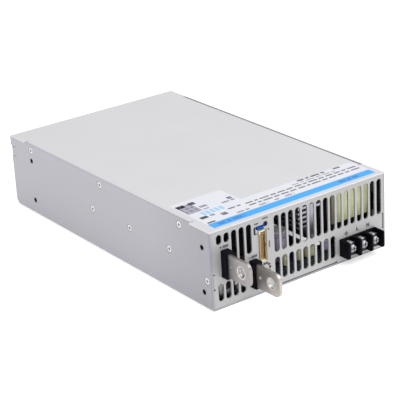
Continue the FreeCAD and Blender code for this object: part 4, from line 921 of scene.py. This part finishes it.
inside = {
    "chokeRounding": 2.6,
    "chokeEnds": 1.2,
    "chokeSegments": 5,
    "chokeLongEdge": 30.0,  # edges longer than this run along the coil
    "chokeCuts": (15.0, 40),  # edges longer than this are cut so often
    "chokeFolds": (3.1, 0.5, 0.15),  # pitch, depth and slant
    "chokeFront": 6.0,  # the folds' reach from the front
    "filmRounding": 2.3,
    "filmSpans": ((76.3, 81.0), (90.5, 96.0), (99.0, 109.0)),
    "bead": ((94.9, 50.0, 26.5), (94.9, 32.0, 26.5), (94.9, 14.0, 26.5), (96.0, 8.6, 26.3), (99.5, 7.4, 24.2),
             (103.5, 7.8, 21.6), (107.5, 8.8, 19.2), (111.0, 10.6, 17.6)),
    "beadRadius": 1.4,
    "beadUneven": (0.12, 9.0),  # share of the radius, and how fast it comes and goes
    "discs": ((118.0, 11.0, 3.8),),
    "discThickness": 2.6,
    "discEdge": (0.9, 0.4),  # the rounding's height in mm and its flat share
    "discLift": 1.5,
    "legRadius": 0.3,
    "legLength": 3.2,
    "legSpread": 0.5,  # share of the disc's radius
}


def at(across, depth, height):
    return Vector((left + across * mm, front + depth * mm, height * mm))


def chokeCoil():
    shape = bmesh.new()
    low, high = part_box("line_choke_coil")
    addRounded(shape, low, high, inside["chokeEnds"], 3)
    along = [edge for edge in shape.edges if edge.calc_length() > inside["chokeLongEdge"] * mm]
    rounded(shape, along, inside["chokeRounding"], inside["chokeSegments"])
    shortest, cuts = inside["chokeCuts"]
    long = [edge for edge in shape.edges if edge.calc_length() > shortest * mm]
    bmesh.ops.subdivide_edges(shape, edges=long, cuts=cuts, use_grid_fill=True)
    pitch, deep, slant = inside["chokeFolds"]
    for vert in shape.verts:
        if vert.co.y < low.y + inside["chokeFront"] * mm:
            wave = math.sin(vert.co.x / mm * math.tau / pitch + vert.co.z / mm * slant)
            vert.co.y += (1 + wave) * deep / 2 * mm
    coil = newPiece("choke_winding", shape, ["chokeTape"])
    smooth(coil)
    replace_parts(coil, "line_choke_coil")


def filmCapacitors():
    low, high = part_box("film_capacitors")
    shape = bmesh.new()
    for near, far in inside["filmSpans"]:
        addRounded(shape, (left + near * mm, low.y, low.z), (left + far * mm, high.y, high.z),
                   inside["filmRounding"])
    lumps = newPiece("film_capacitor_lumps", shape, ["capacitorBox"])
    smooth(lumps)
    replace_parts(lumps, "film_capacitors")


def sealantBead():  # along the heat sink's lowest fin and down onto the capacitor beside it
    curve = bpy.data.curves.new("bead", "CURVE")
    curve.dimensions = "3D"
    curve.bevel_depth = inside["beadRadius"] * mm
    curve.bevel_resolution = 5
    curve.use_fill_caps = True
    spline = curve.splines.new("NURBS")
    spline.points.add(len(inside["bead"]) - 1)
    share, pace = inside["beadUneven"]
    for point, place in zip(spline.points, inside["bead"]):
        point.co = (*at(*place), 1.0)
        point.radius = 1.0 + share * math.sin(place[0] * pace + place[1])
    spline.order_u = 4
    spline.use_endpoint_u = True
    spline.resolution_u = 12
    mesh = meshOfCurve(curve)
    shape = bmesh.new()
    shape.from_mesh(mesh)
    bpy.data.meshes.remove(mesh)
    bmesh.ops.remove_doubles(shape, verts=shape.verts, dist=mergeReach)
    smooth(newPiece("sealant_bead", shape, ["whiteGlue"]))


def discCapacitors():  # a coated disc that stands on two legs
    shape = bmesh.new()
    thick = inside["discThickness"] / 2
    edge, flat = inside["discEdge"]
    legRadius = inside["legRadius"] * mm
    legLength = inside["legLength"] * mm
    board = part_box("main_board")[1].z
    for across, depth, radius in inside["discs"]:
        middle = at(across, depth, 0) + Vector((0, 0, board + (radius + inside["discLift"]) * mm))
        outline = ((-thick, 0), (-thick, radius - edge), (-flat * thick, radius), (flat * thick, radius),
                   (thick, radius - edge), (thick, 0))
        verts = [shape.verts.new(middle + Vector((0, along, rise)) * mm) for along, rise in outline]
        edges = [shape.edges.new(pair) for pair in zip(verts, verts[1:])]
        bmesh.ops.spin(shape, geom=verts + edges, cent=middle, axis=(0, 1, 0), angle=math.tau, steps=32,
                       use_merge=True)
        for side in (-1, 1):
            aside = side * radius * inside["legSpread"] * mm
            place = Matrix.Translation((middle.x + aside, middle.y, board + legLength / 2))
            made = bmesh.ops.create_cone(shape, cap_ends=True, segments=12, radius1=legRadius,
                                         radius2=legRadius, depth=legLength, matrix=place)
            for face in {face for vert in made["verts"] for face in vert.link_faces}:
                face.material_index = 1
    bmesh.ops.remove_doubles(shape, verts=shape.verts, dist=mergeReach)
    newPiece("disc_capacitors", shape, ["greyCoating", "platedSteel"])


chokeCoil()
filmCapacitors()
sealantBead()
discCapacitors()
print("inner parts made")


# Signal connector: ribs on its left wall and latch marks on its right, in mm from its lower left corner

latches = {
    "ribs": (3.0, 5.6, 8.2, 10.8, 13.4, 16.0, 18.6, 21.2),
    "ribCorner": (0.9, 0.1),  # from the left side and the front
    "rib": (0.55, 2.0, 0.9),
    "marks": ((2.0, 19.0), (22.6, 1.2)),  # rise and height
    "markCorner": (0.9, 0.2),  # from the right side and the front
    "mark": (0.45, 1.4),
}


def connectorDetails():
    low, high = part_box("signal_connector")
    shape = bmesh.new()
    for rise in latches["ribs"]:
        corner = low + Vector((*latches["ribCorner"], rise)) * mm
        addBox(shape, corner, corner + Vector(latches["rib"]) * mm)
    inset, behind = latches["markCorner"]
    wide, deep = latches["mark"]
    for rise, tall in latches["marks"]:
        corner = Vector((high.x, low.y, low.z)) + Vector((-inset - wide, behind, rise)) * mm
        addBox(shape, corner, corner + Vector((wide, deep, tall)) * mm, 1)
    newPiece("connector_details", shape, ["connectorPlastic", "brownPlastic"])


connectorDetails()
print("connector details made")


# Floor

def makeFloor():  # white, and bright enough to show no edge
    shape = bmesh.new()
    bmesh.ops.create_grid(shape, x_segments=1, y_segments=1, size=studio["floorSize"] / 2)
    mesh = bpy.data.meshes.new("floor")
    shape.to_mesh(mesh)
    shape.free()
    floor = bpy.data.objects.new("floor", mesh)
    bpy.context.collection.objects.link(floor)
    paint, surface, place = newMaterial("floorPaint")
    grain = noise(place, studio["floorGrain"])
    pale = studio["floorColour"]
    dull = tuple(channel * studio["floorPatches"] for channel in pale)
    apply(surface, {"Base Color": blend(grain, dull, pale), "Roughness": studio["floorRoughness"],
                    "Emission Color": (*pale, 1.0), "Emission Strength": studio["floorGlow"]})
    mesh.materials.append(paint)


makeFloor()
print("scene made")
